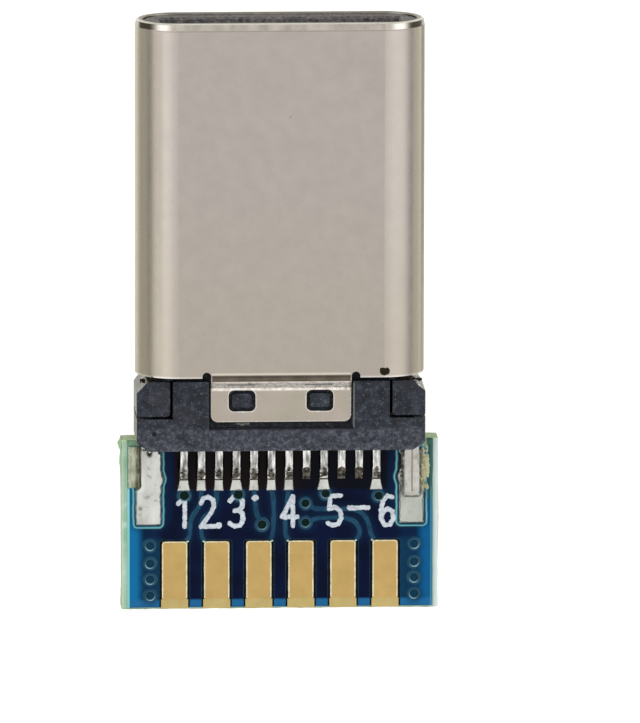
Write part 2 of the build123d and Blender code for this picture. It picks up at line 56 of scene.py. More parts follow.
shell_low, shell_high = mm_box("shell")
board_low, board_high = mm_box("board")
MIDDLE_Z = (shell_low.z + shell_high.z) / 2
NOSE_Y = shell_high.y
SHELL_BACK = NOSE_Y - 10.19
TAB_BACK = shell_low.y
FLANGE_BACK = mm_box("upper_terminal_holder")[0].y
BOARD_FRONT = board_high.y
BOARD_BACK = board_low.y
BOARD_SIDE = board_high.x

# Levels from the middle plane, and sizes that repeat those of the CAD parts
BOARD_TOP = board_high.z - MIDDLE_Z
SHELL_TOP = shell_high.z - MIDDLE_Z
COPPER = 0.035
MASK = 0.025
PAD_TOP = BOARD_TOP + COPPER
MASK_TOP = BOARD_TOP + MASK
MASK_SIDE = BOARD_SIDE - 0.22
CONTACT_PITCH = 0.5
UPPER_PLACES = (1, 2, 3, 4, 5, 6, 7, 9, 12)
LOWER_PLACES = (1, 2, 3, 4, 5, 8, 9, 10, 11, 12)
VIA_PLACES = (1, 4, 9, 12)
CONTACT_LEVEL = 0.61
FOOT_LEVEL = PAD_TOP + 0.06
TAIL_END = FLANGE_BACK - 0.93
PAD_END = BOARD_FRONT - 1.48
WIRE_PADS = range(1, 7)
WIRE_PAD_PITCH = 1.204
WIRE_PAD_FRONT = BOARD_FRONT - 2.96
SHIELD_PAD_X = 3.76
LOWER_SHIELD_PAD_X = 3.32
SHIELD_PAD_MIDDLE = BOARD_FRONT - 1.38
LEG_END = FLANGE_BACK - 1.43
TAB_SIDE = 1.98
TAB_TOP = 0.95
TAB_CORNER = 0.19
WINDOW_X = 1.11
WINDOW_Y = SHELL_BACK - 0.70
RECESS_FLOOR = 0.71
SEAM_LEVEL = 0.48

# Copper below the coating: half width of a trace, and rings around openings
TRACE_HALF = 0.058
COPPER_RING = 0.075
HALO_REACH = 0.062

# How far a skirt of a relief goes below its base, and how far its hidden part lies below the board's face
SKIRT = 0.03
HIDDEN = 0.05

# Camera and picture
IMAGE_WIDTH, IMAGE_HEIGHT = 640, 723
PIXELS_PER_MM = 35.05
AXIS_PIXEL_X = 279.3
NOSE_PIXEL_Y = 17.2
CAMERA_TILT = math.radians(10.2)
CAMERA_SIDE = math.radians(3.1)
CAMERA_ROLL = math.radians(0.1)
CAMERA_DISTANCE = 400.0
SENSOR = 36.0


# Small helpers for node graphs


def linear(red, green, blue):
    """Linear colour of an 8-bit sRGB colour."""
    channels = []
    for value in (red, green, blue):
        part = value / 255
        channels.append(part / 12.92 if part <= 0.04045 else ((part + 0.055) / 1.055) ** 2.4)
    return (*channels, 1.0)


class Nodes:
    """A node tree: short calls that add its nodes."""

    def __init__(self, tree):
        self.nodes, self.links = tree.nodes, tree.links

    def put(self, socket, value):
        """Link a socket's source, or set a plain value on it."""
        if isinstance(value, bpy.types.NodeSocket):
            self.links.new(value, socket)
        else:
            socket.default_value = value

    def add(self, kind, output, inputs=None, **settings):
        """Output of a new node, which gets its settings and then its inputs."""
        node = self.nodes.new(f"ShaderNode{kind}")
        for name, value in settings.items():
            setattr(node, name, value)
        for key, value in (inputs or {}).items():
            self.put(node.inputs[key], value)
        return node.outputs[output]

    def mix(self, factor, first, second):
        """The first colour at 0, the second at 1."""
        return self.add("Mix", "Result", {"Factor": factor, "A": first, "B": second}, data_type="RGBA")

    def ramp(self, value, *stops):
        """Colour ramp; a stop is a place and an sRGB colour, or a place and a linear colour with alpha."""
        result = self.add("ValToRGB", 0, {0: value})
        elements = result.node.color_ramp.elements
        while len(elements) < len(stops):
            elements.new(0.5)
        for element, (place, *colour) in zip(elements, stops):
            element.position = place
            element.color = colour if len(colour) == 4 else linear(*colour)
        return result


class Graph(Nodes):
    """A material's nodes, with places in millimetres and a colour that tints are laid over."""

    def __init__(self, name, index=None):
        self.material = bpy.data.materials.new(name)
        self.material.use_nodes = True
        super().__init__(self.material.node_tree)
        self.shader = self.nodes["Principled BSDF"]
        if index:
            self.shader.inputs["IOR"].default_value = index
        self.place = self.vector("SCALE", self.add("TexCoord", "Object"), 1 / MM)
        self.x, self.y, self.z = self.add("SeparateXYZ", 0, {0: self.place}).node.outputs
        self.side = self.math("ABSOLUTE", self.x)
        self.colour = None

    def vector(self, operation, first, second):
        """Result of a vector sum, product or scaling."""
        key = "Scale" if operation == "SCALE" else 1
        return self.add("VectorMath", 0, {0: first, key: second}, operation=operation)

    def math(self, operation, first, second=0.0):
        """Result of an operation on numbers."""
        return self.add("Math", 0, {0: first, 1: second}, operation=operation)

    def product(self, value, *factors):
        """Product of any number of values."""
        for factor in factors:
            value = self.math("MULTIPLY", value, factor)
        return value

    def length(self, across, along):
        """Length of a vector with two parts."""
        squares = self.math("ADD", self.product(across, across), self.product(along, along))
        return self.math("SQRT", squares)

    def distance_to(self, x, y):
        """Distance in plan from a point."""
        return self.length(self.math("SUBTRACT", self.x, x), self.math("SUBTRACT", self.y, y))

    def step(self, value, low, high, to_low=0.0, to_high=1.0):
        """Smooth step of a value between two limits."""
        inputs = {"Value": value, "From Min": low, "From Max": high, "To Min": to_low, "To Max": to_high}
        return self.add("MapRange", "Result", inputs, interpolation_type="SMOOTHSTEP")

    def fall(self, value, low, high):
        """Smooth step down, from 1 at the lower limit to 0 at the upper."""
        return self.step(value, low, high, 1.0, 0.0)

    def window(self, x_low, x_high, y_low, y_high, soft=0.05):
        """1 inside a rectangle in plan, falling to 0 over a soft edge."""
        sides = []
        for axis, low, high in ((self.x, x_low, x_high), (self.y, y_low, y_high)):
            sides += [self.step(axis, low - soft, low + soft), self.fall(axis, high - soft, high + soft)]
        return self.product(*sides)

    def noise(self, scale, detail=3.0, stretch=(1, 1, 1), roughness=0.5, offset=(0, 0, 0)):
        """Noise with a scale in cells to a millimetre."""
        place = self.vector("ADD", self.vector("MULTIPLY", self.place, stretch), offset)
        return self.add(
            "TexNoise", "Fac", {"Vector": place, "Scale": scale, "Detail": detail, "Roughness": roughness}
        )

    def cells(self, scale, stretch=(1, 1, 1), feature="F1"):
        """Distance to the nearest point, or border, of a random set of cells."""
        place = self.vector("MULTIPLY", self.place, stretch)
        return self.add("TexVoronoi", "Distance", {"Vector": place, "Scale": scale}, feature=feature)

    def attribute(self, name):
        """A number that a piece's mesh carries at its vertices."""
        return self.add("Attribute", "Fac", attribute_name=name)

    def tint(self, colour, *masks):
        """Lay a colour over the one so far, as strongly as the product of the masks."""
        colour = linear(*colour) if isinstance(colour, tuple) else colour
        self.colour = self.mix(self.product(*masks), self.colour, colour)

    def finish(self, roughness, metallic=0.0, *bumps):
        """Set the shader; a bump is a height, a strength and a distance, on top of the one before."""
        for name, value in (("Base Color", self.colour), ("Roughness", roughness), ("Metallic", metallic)):
            self.put(self.shader.inputs[name], value)
        normal = None
        for height, strength, distance in bumps:
            inputs = {"Strength": strength, "Distance": distance * MM, "Height": height}
            if normal:
                inputs["Normal"] = normal
            normal = self.add("Bump", 0, inputs)
        if normal:
            self.put(self.shader.inputs["Normal"], normal)
        return self.material


# Materials: a tint's colour is 8-bit sRGB, and its last mask is often a plain strength


def shell_steel():
    """Drawn and tumbled stainless steel, warm grey, with faint mottling, drawing lines and specks, and
    painted shade and highlights along its sides, nose lip, rear edge and tab.
    """
    g = Graph("shell_steel")
    g.colour = g.ramp(g.noise(1.6, 5, stretch=(1, 0.7, 1)), (0.3, 196, 187, 179), (0.7, 200, 191, 182))
    # Painted shade in bands down the left side, a painted highlight and then painted shade at the right edge,
    # and a painted highlight on the left edge
    g.tint((176, 172, 148), g.fall(g.x, -3.9, -3.55), 0.3)
    g.tint((168, 158, 142), g.window(-3.8, -3.38, SHELL_BACK, NOSE_Y - 0.2, 0.09), 0.6)
    g.tint((216, 212, 190), g.step(g.x, 3.7, 4.0), g.fall(g.x, 3.99, 4.07), 0.5)
    g.tint((118, 114, 98), g.step(g.x, 3.96, 4.05), 0.85)
    g.tint((226, 222, 208), g.fall(g.x, -4.11, -4.04), 0.6)
    g.tint((194, 184, 164), g.fall(g.y, SHELL_BACK, NOSE_Y - 4), 0.4)

    # The lip at the nose: painted shade where it turns down at the sides, painted highlights just inside that
    # and on its end face, a thin darker line behind it, and the end face darker at its inner edge
    lip = g.step(g.y, NOSE_Y - 0.20, NOSE_Y - 0.175)
    lip_colour = g.ramp(g.noise(3, 4, stretch=(1, 0.4, 1)), (0.35, 182, 174, 162), (0.65, 216, 208, 196))
    g.tint(lip_colour, lip, 0.8)
    g.tint((150, 128, 122), g.window(-3.6, 3.6, NOSE_Y - 0.225, NOSE_Y - 0.20, 0.012), 0.5)
    g.tint((52, 49, 38), lip, g.step(g.side, 3.5, 3.76), g.fall(g.side, 3.98, 4.05), 0.9)
    g.tint((255, 252, 244), lip, g.step(g.side, 3.08, 3.3), g.fall(g.side, 3.40, 3.62), 0.8)
    reach = g.math("MAXIMUM", g.math("SUBTRACT", g.side, 2.925), 0.0)
    radius = g.length(reach, g.math("SUBTRACT", g.z, MIDDLE_Z))
    face = g.step(g.y, NOSE_Y - 0.035, NOSE_Y - 0.012)
    g.tint((252, 248, 240), face, 0.8)
    g.tint((112, 108, 98), face, g.fall(radius, 1.07, 1.12), 0.85)

    # Painted highlights along the rear edge beside the tab and where the tab starts to bend, painted shade on
    # its sloping bend, a painted highlight with spots on its convex bend, painted shade for two dents, and
    # the flat
    rear = g.product(g.step(g.y, SHELL_BACK - 0.03, SHELL_BACK), g.fall(g.y, SHELL_BACK, SHELL_BACK + 0.07))
    g.tint((250, 244, 236), rear, g.step(g.side, TAB_SIDE, TAB_SIDE + 0.04), 0.9)
    g.tint((240, 228, 212), g.window(-TAB_SIDE, TAB_SIDE, SHELL_BACK + 0.085, SHELL_BACK + 0.145, 0.015), 0.9)
    shade = g.window(-TAB_SIDE, TAB_SIDE, SHELL_BACK - 0.12, SHELL_BACK + 0.075, 0.025)
    g.tint(g.ramp(g.noise(2.0, 3, stretch=(1, 0.3, 1)), (0.35, 74, 66, 52), (0.65, 98, 88, 78)), shade, 0.95)
    convex_bend = g.window(-1.97, 1.97, SHELL_BACK - 0.40, SHELL_BACK - 0.13, 0.03)
    spots = g.noise(9, 5, stretch=(1, 0.8, 1), roughness=0.7)
    g.tint(g.ramp(spots, (0.36, 190, 180, 170), (0.46, 238, 229, 219), (0.58, 255, 252, 246)), convex_bend, 0.8)
    for x in (-1.11, 1.08):
        dent = g.window(x - 0.42, x + 0.38, SHELL_BACK - 0.235, SHELL_BACK - 0.195, 0.02)
        g.tint((70, 62, 54), dent, 0.7)
    flat_part = g.window(-1.97, 1.97, TAB_BACK + 0.02, SHELL_BACK - 0.40, 0.02)
    flat_colour = g.ramp(g.noise(0.9, 2, offset=(2, 0, 0)), (0.35, 190, 184, 164), (0.65, 202, 189, 177))
    g.tint(flat_colour, flat_part, 0.8)

    g.tint((96, 90, 82), g.fall(g.cells(0.8), 0.018, 0.034), 0.35)
    g.tint((160, 148, 146), g.step(g.noise(0.35, 3, offset=(7, 3, 1)), 0.55, 0.8), 0.12)
    drawing_lines = (g.noise(9, 2, stretch=(1, 0.03, 1)), 0.08, 0.003)
    tumbled = (g.noise(16, 3), 0.025, 0.003)
    rough = g.step(g.noise(2.5, 4), 0.3, 0.7, 0.25, 0.31)
    return g.finish(rough, 1.0, drawing_lines, tumbled, (g.product(spots, convex_bend), 0.5, 0.02))


def plate_steel():
    """Bright stamped spring steel, with a fold line along the solder legs."""
    g = Graph("plate_steel")
    g.colour = g.ramp(g.noise(3, 3), (0.3, 196, 193, 186), (0.7, 224, 221, 213))
    # The fold along each solder leg: a groove in the bump, painted darker as its shade
    fold = g.window(SHIELD_PAD_X - 0.02, SHIELD_PAD_X + 0.03, LEG_END + 0.12, FLANGE_BACK, 0.02)
    g.tint((104, 98, 86), fold, 0.75)
    g.tint((150, 142, 122), g.step(g.noise(7, 4, stretch=(1, 0.4, 1), offset=(2, 9, 4)), 0.56, 0.68), 0.5)
    lines = (g.noise(12, 2, stretch=(1, 0.1, 1)), 0.2, 0.004)
    return g.finish(g.step(g.noise(6, 3), 0.3, 0.7, 0.26, 0.4), 1.0, lines, (fold, 0.6, -0.03))


def dark_moulding():
    """Glass-filled black moulding, slate grey in this light, scuffed and mottled, with pin marks."""
    g = Graph("dark_moulding", 1.33)
    coarse = g.noise(1.7, 6, roughness=0.62, offset=(1, 2, 0))
    middle = g.noise(4.5, 5, roughness=0.65, offset=(0, 7, 3))
    fine = g.noise(13, 3, roughness=0.6, offset=(3, 1, 5))
    g.colour = g.ramp(coarse, (0.34, 22, 27, 34), (0.5, 34, 39, 47), (0.66, 52, 55, 66))
    g.tint((74, 80, 92), g.step(middle, 0.5, 0.72, 0.0, 0.75))
    g.tint((16, 19, 25), g.step(middle, 0.46, 0.34, 0.0, 0.7))
    g.tint((112, 116, 126), g.step(fine, 0.58, 0.72, 0.0, 0.85))
    g.tint((58, 48, 58), g.step(g.noise(1.1, 2, offset=(9, 9, 9)), 0.5, 0.7), 0.3)
    fibres = g.step(g.cells(3.2, stretch=(1, 1.6, 1), feature="DISTANCE_TO_EDGE"), 0.0, 0.03, 0.22, 0.0)
    g.tint((112, 116, 126), fibres, g.step(middle, 0.45, 0.6))

    # Drawn marks on the ears, and painted highlights in streaks along the chamfers at their outer front
    # corners
    ear = g.product(g.step(g.side, 3.20, 3.26), g.step(g.y, FLANGE_BACK + 1.0, FLANGE_BACK + 1.05))
    drawn = g.step(g.noise(7, 2, stretch=(1, 0.12, 1), offset=(4, 4, 4)), 0.5, 0.7, 0.0, 0.5)
    g.tint((66, 72, 84), ear, drawn)
    streaks = g.step(g.noise(8, 4, stretch=(0.8, 1.4, 1), offset=(6, 2, 8)), 0.42, 0.56)
    for side, cross in ((-1, -3.94), (1, 3.88)):
        across = g.product(g.math("SUBTRACT", g.x, cross), side)
        slant = g.math("ADD", across, g.math("SUBTRACT", g.y, SHELL_BACK - 0.14))
        band = g.fall(g.math("ABSOLUTE", slant), 0.035, 0.085)
        place = g.window(cross - 0.16, cross + 0.16, SHELL_BACK - 0.34, SHELL_BACK + 0.05, 0.03)
        g.tint((250, 250, 246), band, place, streaks)

    # The bar behind the tab: chipped along its rear edge, paler, with two pin marks
    chips = g.step(g.noise(9, 5, stretch=(1, 1.3, 1), offset=(5, 5, 1)), 0.5, 0.64, 0.0, 0.7)
    g.tint((134, 134, 138), g.fall(g.y, FLANGE_BACK, FLANGE_BACK + 0.14), chips)
    bar_noise = g.noise(9, 6, roughness=0.75, offset=(6, 2, 8))
    bar_colour = g.ramp(bar_noise, (0.34, 26, 29, 35), (0.5, 66, 70, 80), (0.64, 120, 122, 134))
    g.tint(bar_colour, g.fall(g.y, SHELL_BACK - 1.55, SHELL_BACK - 1.35), 0.6)
    rings = 0.0
    for x, y, radius in ((-2.49, NOSE_Y - 11.83, 0.29), (2.42, NOSE_Y - 11.76, 0.3)):
        away = g.math("ABSOLUTE", g.math("SUBTRACT", g.distance_to(x, y), radius))
        rings = g.math("MAXIMUM", g.fall(away, 0.01, 0.04), rings)
    g.tint((17, 20, 26), rings, 0.45)

    # Painted sheen at a glance along the outer sides, a painted highlight along the recess's right edge, grey
    # mouth, pit in the left ear
    glance = g.add("LayerWeight", "Facing", {"Blend": 0.5})
    g.tint((196, 195, 188), g.step(glance, 0.80, 0.86), g.step(g.side, 3.75, 3.8), 0.85)
    g.tint((150, 150, 152), g.window(2.04, 2.08, SHELL_BACK - 1.45, SHELL_BACK - 0.15, 0.015), 0.7)
    mouth_noise = g.noise(9, 4, roughness=0.7, offset=(2, 6, 4))
    mouth_colour = g.ramp(mouth_noise, (0.34, 70, 68, 70), (0.5, 112, 108, 108), (0.66, 150, 146, 144))
    g.tint(mouth_colour, g.step(g.y, NOSE_Y - 1.4, NOSE_Y - 1.0))
    g.tint((3, 3, 5), g.fall(g.distance_to(-3.62, NOSE_Y - 11.79), 0.04, 0.09))
    bumps = ((middle, 0.6, 0.04), (fine, 0.4, 0.015), (rings, 0.7, -0.03))
    return g.finish(g.step(middle, 0.3, 0.7, 0.4, 0.62), 0.0, *bumps)


def laminate():
    """Pale green glass laminate: cloth layers at its edges, near black under the coating as painted shade in
    the coating's gaps.
    """
    g = Graph("laminate", 1.25)
    g.colour = g.ramp(g.noise(3.5, 3, stretch=(0.3, 0.3, 4)), (0.3, 150, 188, 158), (0.7, 186, 212, 188))
    g.tint((204, 222, 208), g.step(g.noise(2, 4, offset=(4, 4, 4)), 0.5, 0.72))
    # Painted shade: near black wherever the coating lies, which shows in the gaps at its openings
    g.tint((3, 4, 7), g.window(-MASK_SIDE, MASK_SIDE, BOARD_BACK + 0.03, BOARD_FRONT - 0.03, 0.02))
    g.tint((218, 228, 218), g.step(g.side, BOARD_SIDE - 0.08, BOARD_SIDE + 0.01), 0.6)
    outward = g.step(g.x, MASK_SIDE + 0.02, BOARD_SIDE)
    right_colour = g.ramp(outward, (0.0, 166, 194, 190), (1.0, 236, 242, 240))
    g.tint(right_colour, g.step(g.x, MASK_SIDE - 0.02, MASK_SIDE + 0.02), 0.8)
    front_colour = g.ramp(g.noise(3, 4), (0.35, 206, 244, 176), (0.65, 255, 255, 240))
    g.tint(front_colour, g.step(g.y, BOARD_FRONT - 0.03, BOARD_FRONT - 0.01))
    return g.finish(0.6, 0.0, (g.noise(16, 3, stretch=(1, 0.4, 1)), 0.5, 0.02))


def fringe():
    """Torn glass cloth and resin at the board's snapped edges."""
    g = Graph("fringe")
    patches = g.noise(3.2, 4, stretch=(1, 0.6, 1))
    g.colour = g.ramp(patches, (0.3, 160, 200, 160), (0.55, 206, 224, 206), (0.8, 226, 234, 222))
    g.tint((150, 212, 126), g.fall(g.x, 0.0, 1.0), g.step(g.y, BOARD_FRONT - 1.4, BOARD_FRONT - 0.5), 0.6)
    g.tint((240, 244, 242), g.step(g.x, 0.0, 1.0), 0.8)
    return g.finish(0.6, 0.0, (g.noise(14, 4), 0.7, 0.02))


def solder_mask():
    """Glossy blue coating: navy over laminate, teal over copper, with painted light along the board's sides
    and rear edge, where light comes through the board.
    """
    g = Graph("solder_mask", 1.17)
    copper = g.attribute("copper")
    left = g.fall(g.x, -0.5, 0.5)
    g.colour = g.ramp(g.noise(1.2, 3), (0.35, 2, 10, 36), (0.7, 4, 18, 54))
    g.tint((6, 38, 74), g.step(g.side, 3.3, 3.6), 0.6)
    g.tint((6, 60, 92), g.step(g.side, 3.25, 3.45), g.fall(g.y, BOARD_FRONT - 3.05, BOARD_FRONT - 2.75), 0.85)
    # Painted light: brighter blue along the board's sides, where light comes through the board's edge
    g.tint(g.mix(left, linear(8, 94, 148), linear(14, 112, 166)), g.step(g.side, 3.86, 4.14))
    g.tint((14, 62, 104), g.step(g.side, 2.95, 3.25), g.step(g.y, BOARD_FRONT - 2.6, BOARD_FRONT - 2.2), 0.2)
    # Painted light: brighter blue along the rear edge, where light comes through the board's edge
    g.tint((34, 110, 164), g.fall(g.y, BOARD_BACK + 0.22, BOARD_BACK + 0.30), 0.85)
    # Painted shade: near-black brown and navy between the tails, behind the flange
    row_shade_colour = g.ramp(g.step(g.x, 0.3, 0.9), (0.0, 20, 11, 7), (1.0, 6, 8, 17))
    g.tint(row_shade_colour, g.window(-3.0, 3.05, PAD_END + 0.02, BOARD_FRONT + 1, 0.05), 0.92)
    g.tint((4, 44, 72), g.attribute("glow"), g.fall(g.y, PAD_END + 0.02, PAD_END + 0.12), 0.4)
    g.tint(g.ramp(g.noise(4, 3), (0.3, 22, 66, 94), (0.7, 38, 86, 114)), copper, 0.85)
    # Painted highlight along the copper's edges, partly from the thinner coating there
    rim = g.step(g.product(copper, g.math("SUBTRACT", 1.0, copper)), 0.08, 0.24)
    g.tint((70, 122, 144), rim, g.step(g.noise(2.2, 3, offset=(7, 7, 1)), 0.4, 0.65, 0.0, 0.4))
    g.tint((128, 206, 208), g.attribute("halo"), 0.9)

    # Front corners, the right side's front part, and the bright line along the sides
    g.tint((140, 176, 142), g.step(g.side, 4.0, 4.06), g.step(g.y, FLANGE_BACK - 0.03, FLANGE_BACK + 0.05))
    g.tint((46, 84, 82), g.step(g.x, 4.16, 4.22), g.step(g.y, FLANGE_BACK - 1.9, FLANGE_BACK - 1.2), 0.9)
    beside_flux = g.step(g.y, FLANGE_BACK - 1.28, FLANGE_BACK - 1.12)
    edge_colour = g.mix(beside_flux, linear(150, 232, 222), linear(112, 160, 124))
    strength = g.step(g.x, -0.5, 0.5, 0.9, 0.2)
    g.tint(edge_colour, g.step(g.side, MASK_SIDE - 0.01, MASK_SIDE + 0.015), strength)
    bumps = ((g.noise(3.5, 3), 0.35, 0.01), (g.noise(18, 2, offset=(1, 2, 3)), 0.12, 0.006))
    return g.finish(g.step(g.noise(3, 4, offset=(5, 5, 5)), 0.3, 0.7, 0.2, 0.32), 0.0, *bumps)


def gold_plate():
    """Matt gold plating over copper, with soft patches, a pale foot and fine scratches."""
    g = Graph("gold_plate")
    patches = g.noise(2.2, 4)
    grain = g.noise(22, 3, offset=(1, 5, 2))
    g.colour = g.ramp(patches, (0.3, 203, 170, 106), (0.7, 214, 181, 114))
    g.tint((196, 164, 110), g.step(grain, 0.5, 0.8, 0.0, 0.5))
    foot_colour = g.ramp(g.noise(3, 3), (0.35, 196, 190, 128), (0.65, 214, 208, 152))
    g.tint(foot_colour, g.fall(g.y, BOARD_BACK + 0.24, BOARD_BACK + 0.31), 0.4)
    scratches = (g.noise(7, 2, stretch=(1, 0.12, 1)), 0.2, 0.006)
    return g.finish(g.step(patches, 0.3, 0.7, 0.38, 0.48), 1.0, scratches, (grain, 0.3, 0.008))


def contact_metal():
    """Contact: gold inside the plug, tin-wetted on its tail, darkened on its tail, most where it slopes down,
    by painted shade and dark reflections with some stain.
    """
    g = Graph("contact_metal", 1.2)
    shade_and_dirt = g.attribute("shade_and_dirt")
    uneven = g.noise(7, 4, stretch=(1.6, 0.35, 1))
    g.colour = g.ramp(uneven, (0.36, 138, 138, 134), (0.5, 206, 206, 202), (0.62, 255, 254, 250))
    # Painted shade and dark reflections, with some stain, where a tail's mesh carries them
    g.tint(g.ramp(g.noise(9, 3), (0.4, 40, 36, 30), (0.62, 112, 106, 96)), g.step(shade_and_dirt, 0.15, 0.75))
    g.tint((224, 186, 112), g.step(g.y, FLANGE_BACK, FLANGE_BACK + 0.1))
    lumps = (g.noise(5, 3, stretch=(1.5, 0.5, 1)), 0.9, 0.03)
    grain = (g.noise(14, 3, stretch=(1.5, 0.6, 1)), 0.5, 0.012)
    return g.finish(g.step(shade_and_dirt, 0.2, 0.7, 0.22, 0.7), g.fall(shade_and_dirt, 0.2, 0.7), lumps, grain)


def tin(name="tin", dullness=0.0):
    """Solder: bright grey, lumpy, with dull grey smudges."""
    g = Graph(name)
    smear = g.noise(2.4, 5, stretch=(1, 0.5, 1))
    g.colour = g.ramp(smear, (0.28, 186, 187, 180), (0.5, 214, 216, 209), (0.8, 236, 238, 231))
    g.tint((132, 130, 120), g.step(g.noise(5.5, 5, offset=(9, 2, 4)), 0.6, 0.72), 0.5)
    g.tint((176, 182, 170), g.step(g.x, 3.2, 3.3), 0.5)
    # Darker where a joint's mesh carries it: painted shade in the left joint's notch and just past the right
    # leg's end, with dark spots and patches
    g.tint((58, 55, 44), g.attribute("shade_and_dirt"))
    bumps = ((g.noise(4, 4), 0.5, 0.03), (g.noise(15, 3, offset=(3, 3, 3)), 0.35, 0.01))
    return g.finish(g.step(smear, 0.3, 0.7, 0.42 + dullness, 0.3 + dullness), 1.0, *bumps)


def flux():
    """Dried flux and dirt beside the joints: olive brown, glossy in places."""
    g = Graph("flux")
    patches = g.noise(6, 5, roughness=0.65)
    streaks = g.noise(7, 4, stretch=(1, 0.3, 1))
    stops = ((0.3, 52, 46, 26), (0.48, 118, 110, 74), (0.62, 176, 168, 122), (0.8, 214, 208, 176))
    g.colour = g.ramp(patches, *stops)
    g.tint(g.ramp(streaks, (0.36, 160, 158, 118), (0.6, 222, 220, 178)), g.step(g.x, 3.8, 4.0), 0.75)
    g.tint(g.ramp(streaks, (0.36, 142, 146, 118), (0.6, 198, 204, 180)), g.fall(g.x, -0.5, 0.5))
    g.tint(g.ramp(streaks, (0.36, 58, 54, 34), (0.62, 122, 116, 76)), g.attribute("shade_and_dirt"), 0.9)
    return g.finish(g.step(patches, 0.3, 0.7, 0.25, 0.5), 0.0, (g.noise(12, 4), 0.8, 0.03))


def via_pit():
    """Painted shade of a via's depth: dark green-grey at the contact pads, teal in the stitching rows at the
    sides.
    """
    g = Graph("hole", 1.03)
    g.colour = g.mix(g.step(g.side, 3.3, 3.4), linear(22, 40, 38), linear(24, 64, 88))
    return g.finish(0.9)


def via_rim():
    """Copper edge of a via under the coating, with a painted glint on one side."""
    g = Graph("via_rim", 1.15)
    g.colour = g.mix(g.attribute("shine"), linear(8, 50, 64), linear(172, 214, 222))
    return g.finish(0.4, 0.0, (g.noise(20, 2), 0.4, 0.01))


def plain(name, colour, roughness, bumpiness=0.4, index=1.5):
    """A plain rough surface with a fine grain and a set index of refraction."""
    g = Graph(name, index)
    grain = g.noise(12, 4)
    light = linear(*colour)
    darker = [0.7 * part for part in light[:3]]
    g.colour = g.ramp(grain, (0.35, *darker, 1), (0.65, *light))
    return g.finish(roughness, 0.0, (grain, bumpiness, 0.015))


MATERIALS = {
    "shell": shell_steel(),
    "steel": plate_steel(),
    "moulding": dark_moulding(),
    "laminate": laminate(),
    "fringe": fringe(),
    "mask": solder_mask(),
    "gold": gold_plate(),
    "contact": contact_metal(),
    "tin": tin(),
    "dull_tin": tin("dull_tin", 0.12),
    "flux": flux(),
    "silk": plain("silk", (222, 230, 238), 0.7),
    "hole": via_pit(),
    # Black, for the sheets of painted shade in the seams
    "gap": plain("gap", (2, 2, 3), 0.9, index=1.03),
    "via_rim": via_rim(),
    "pad_line": plain("pad_line", (255, 244, 206), 0.6, 0.1),
    "neck": plain("neck", (206, 222, 190), 0.5, 0.1),
    "mask_line": plain("mask_line", (34, 76, 100), 0.4, 0.1, 1.15),
    "dirt": plain("dirt", (44, 38, 26), 0.8, 0.8, 1.2),
    "pale_dirt": plain("pale_dirt", (168, 172, 160), 0.6, 0.8),
    # Painted highlight: near white and matt, for the shell's burrs
    "bright_edge": plain("bright_edge", (244, 238, 228), 0.4, 0.1),
}

# Material of each CAD node, by the first of these words that its name holds
NODE_MATERIALS = (
    ("shell", "shell"),
    ("latch_plate", "steel"),
    ("ground_spring", "steel"),
    ("insulator", "moulding"),
    ("terminal_holder", "moulding"),
    ("board", "laminate"),
    ("solder_mask", "mask"),
    ("wire_pad", "gold"),
    ("contact_pads", "tin"),
    ("contact_", "contact"),
    ("shield", "tin"),
)


def dress_nodes():
    """Give each CAD node its material."""
    for name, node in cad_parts.items():
        material = next(material for word, material in NODE_MATERIALS if word in name)
        node.data.materials.clear()
        node.data.materials.append(MATERIALS[material])


# Mesh helpers: places along X and Y in the row's frame, levels up or down from the middle plane


def make_piece(name, slot, material, points, faces, numbers=None):
    """A piece of the part from points in millimetres; numbers are values that its vertices carry."""
    mesh = bpy.data.meshes.new(name)
    mesh.from_pydata([(x * MM, y * MM, z * MM) for x, y, z in points], [], faces)
    for attribute, values in (numbers or {}).items():
        mesh.attributes.new(attribute, "FLOAT", "POINT").data.foreach_set("value", values)
    mesh.polygons.foreach_set("use_smooth", [True] * len(mesh.polygons))
    mesh.materials.append(MATERIALS[material])
    mesh.validate()
    mesh.update()
    piece = bpy.data.objects.new(name, mesh)
    bpy.context.collection.objects.link(piece)
    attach(piece, "root")
    return piece


def grid_faces(rows, columns, flip=False, first=0, ring=False, loop=False):
    """Quads between rows of points; a ring closes each row, a loop joins the last row to the first."""
    faces = []
    for row in range(rows if loop else rows - 1):
        for column in range(columns if ring else columns - 1):
            below, above = first + row * columns, first + (row + 1) % rows * columns
            after = (column + 1) % columns
            cell = (below + column, below + after, above + after, above + column)
            faces.append(cell[::-1] if flip else cell)
    return faces


def wobble(x, y, scale, seed=0.0):
    """Smooth noise between about -1 and 1 over the plan, for arrays or numbers."""
    if np.ndim(x) == 0:
        return noise.noise(Vector((x * scale, y * scale, seed)))
    values = [noise.noise(Vector((a * scale, b * scale, seed))) for a, b in zip(np.ravel(x), np.ravel(y))]
    return np.array(values).reshape(np.shape(x))


def smooth_step(low, high, value):
    """Smooth step of an array from 0 at low to 1 at high."""
    part = np.clip((value - low) / (high - low), 0, 1)
    return part * part * (3 - 2 * part)


def bell(away, width):
    """Bell curve that is 1 at no distance."""
    return np.exp(-((away / width) ** 2))


def flat(level):
    """A base at one level."""
    return lambda x, y: np.full(np.shape(x), level)


def rectangle_distance(x, y, x_low, x_high, y_low, y_high, corner=0.0):
    """Signed distance from a rectangle with rounded corners, negative inside."""
    across = np.abs(x - (x_low + x_high) / 2) - (x_high - x_low) / 2 + corner
    along = np.abs(y - (y_low + y_high) / 2) - (y_high - y_low) / 2 + corner
    outside = np.hypot(np.maximum(across, 0), np.maximum(along, 0))
    return outside + np.minimum(np.maximum(across, along), 0) - corner


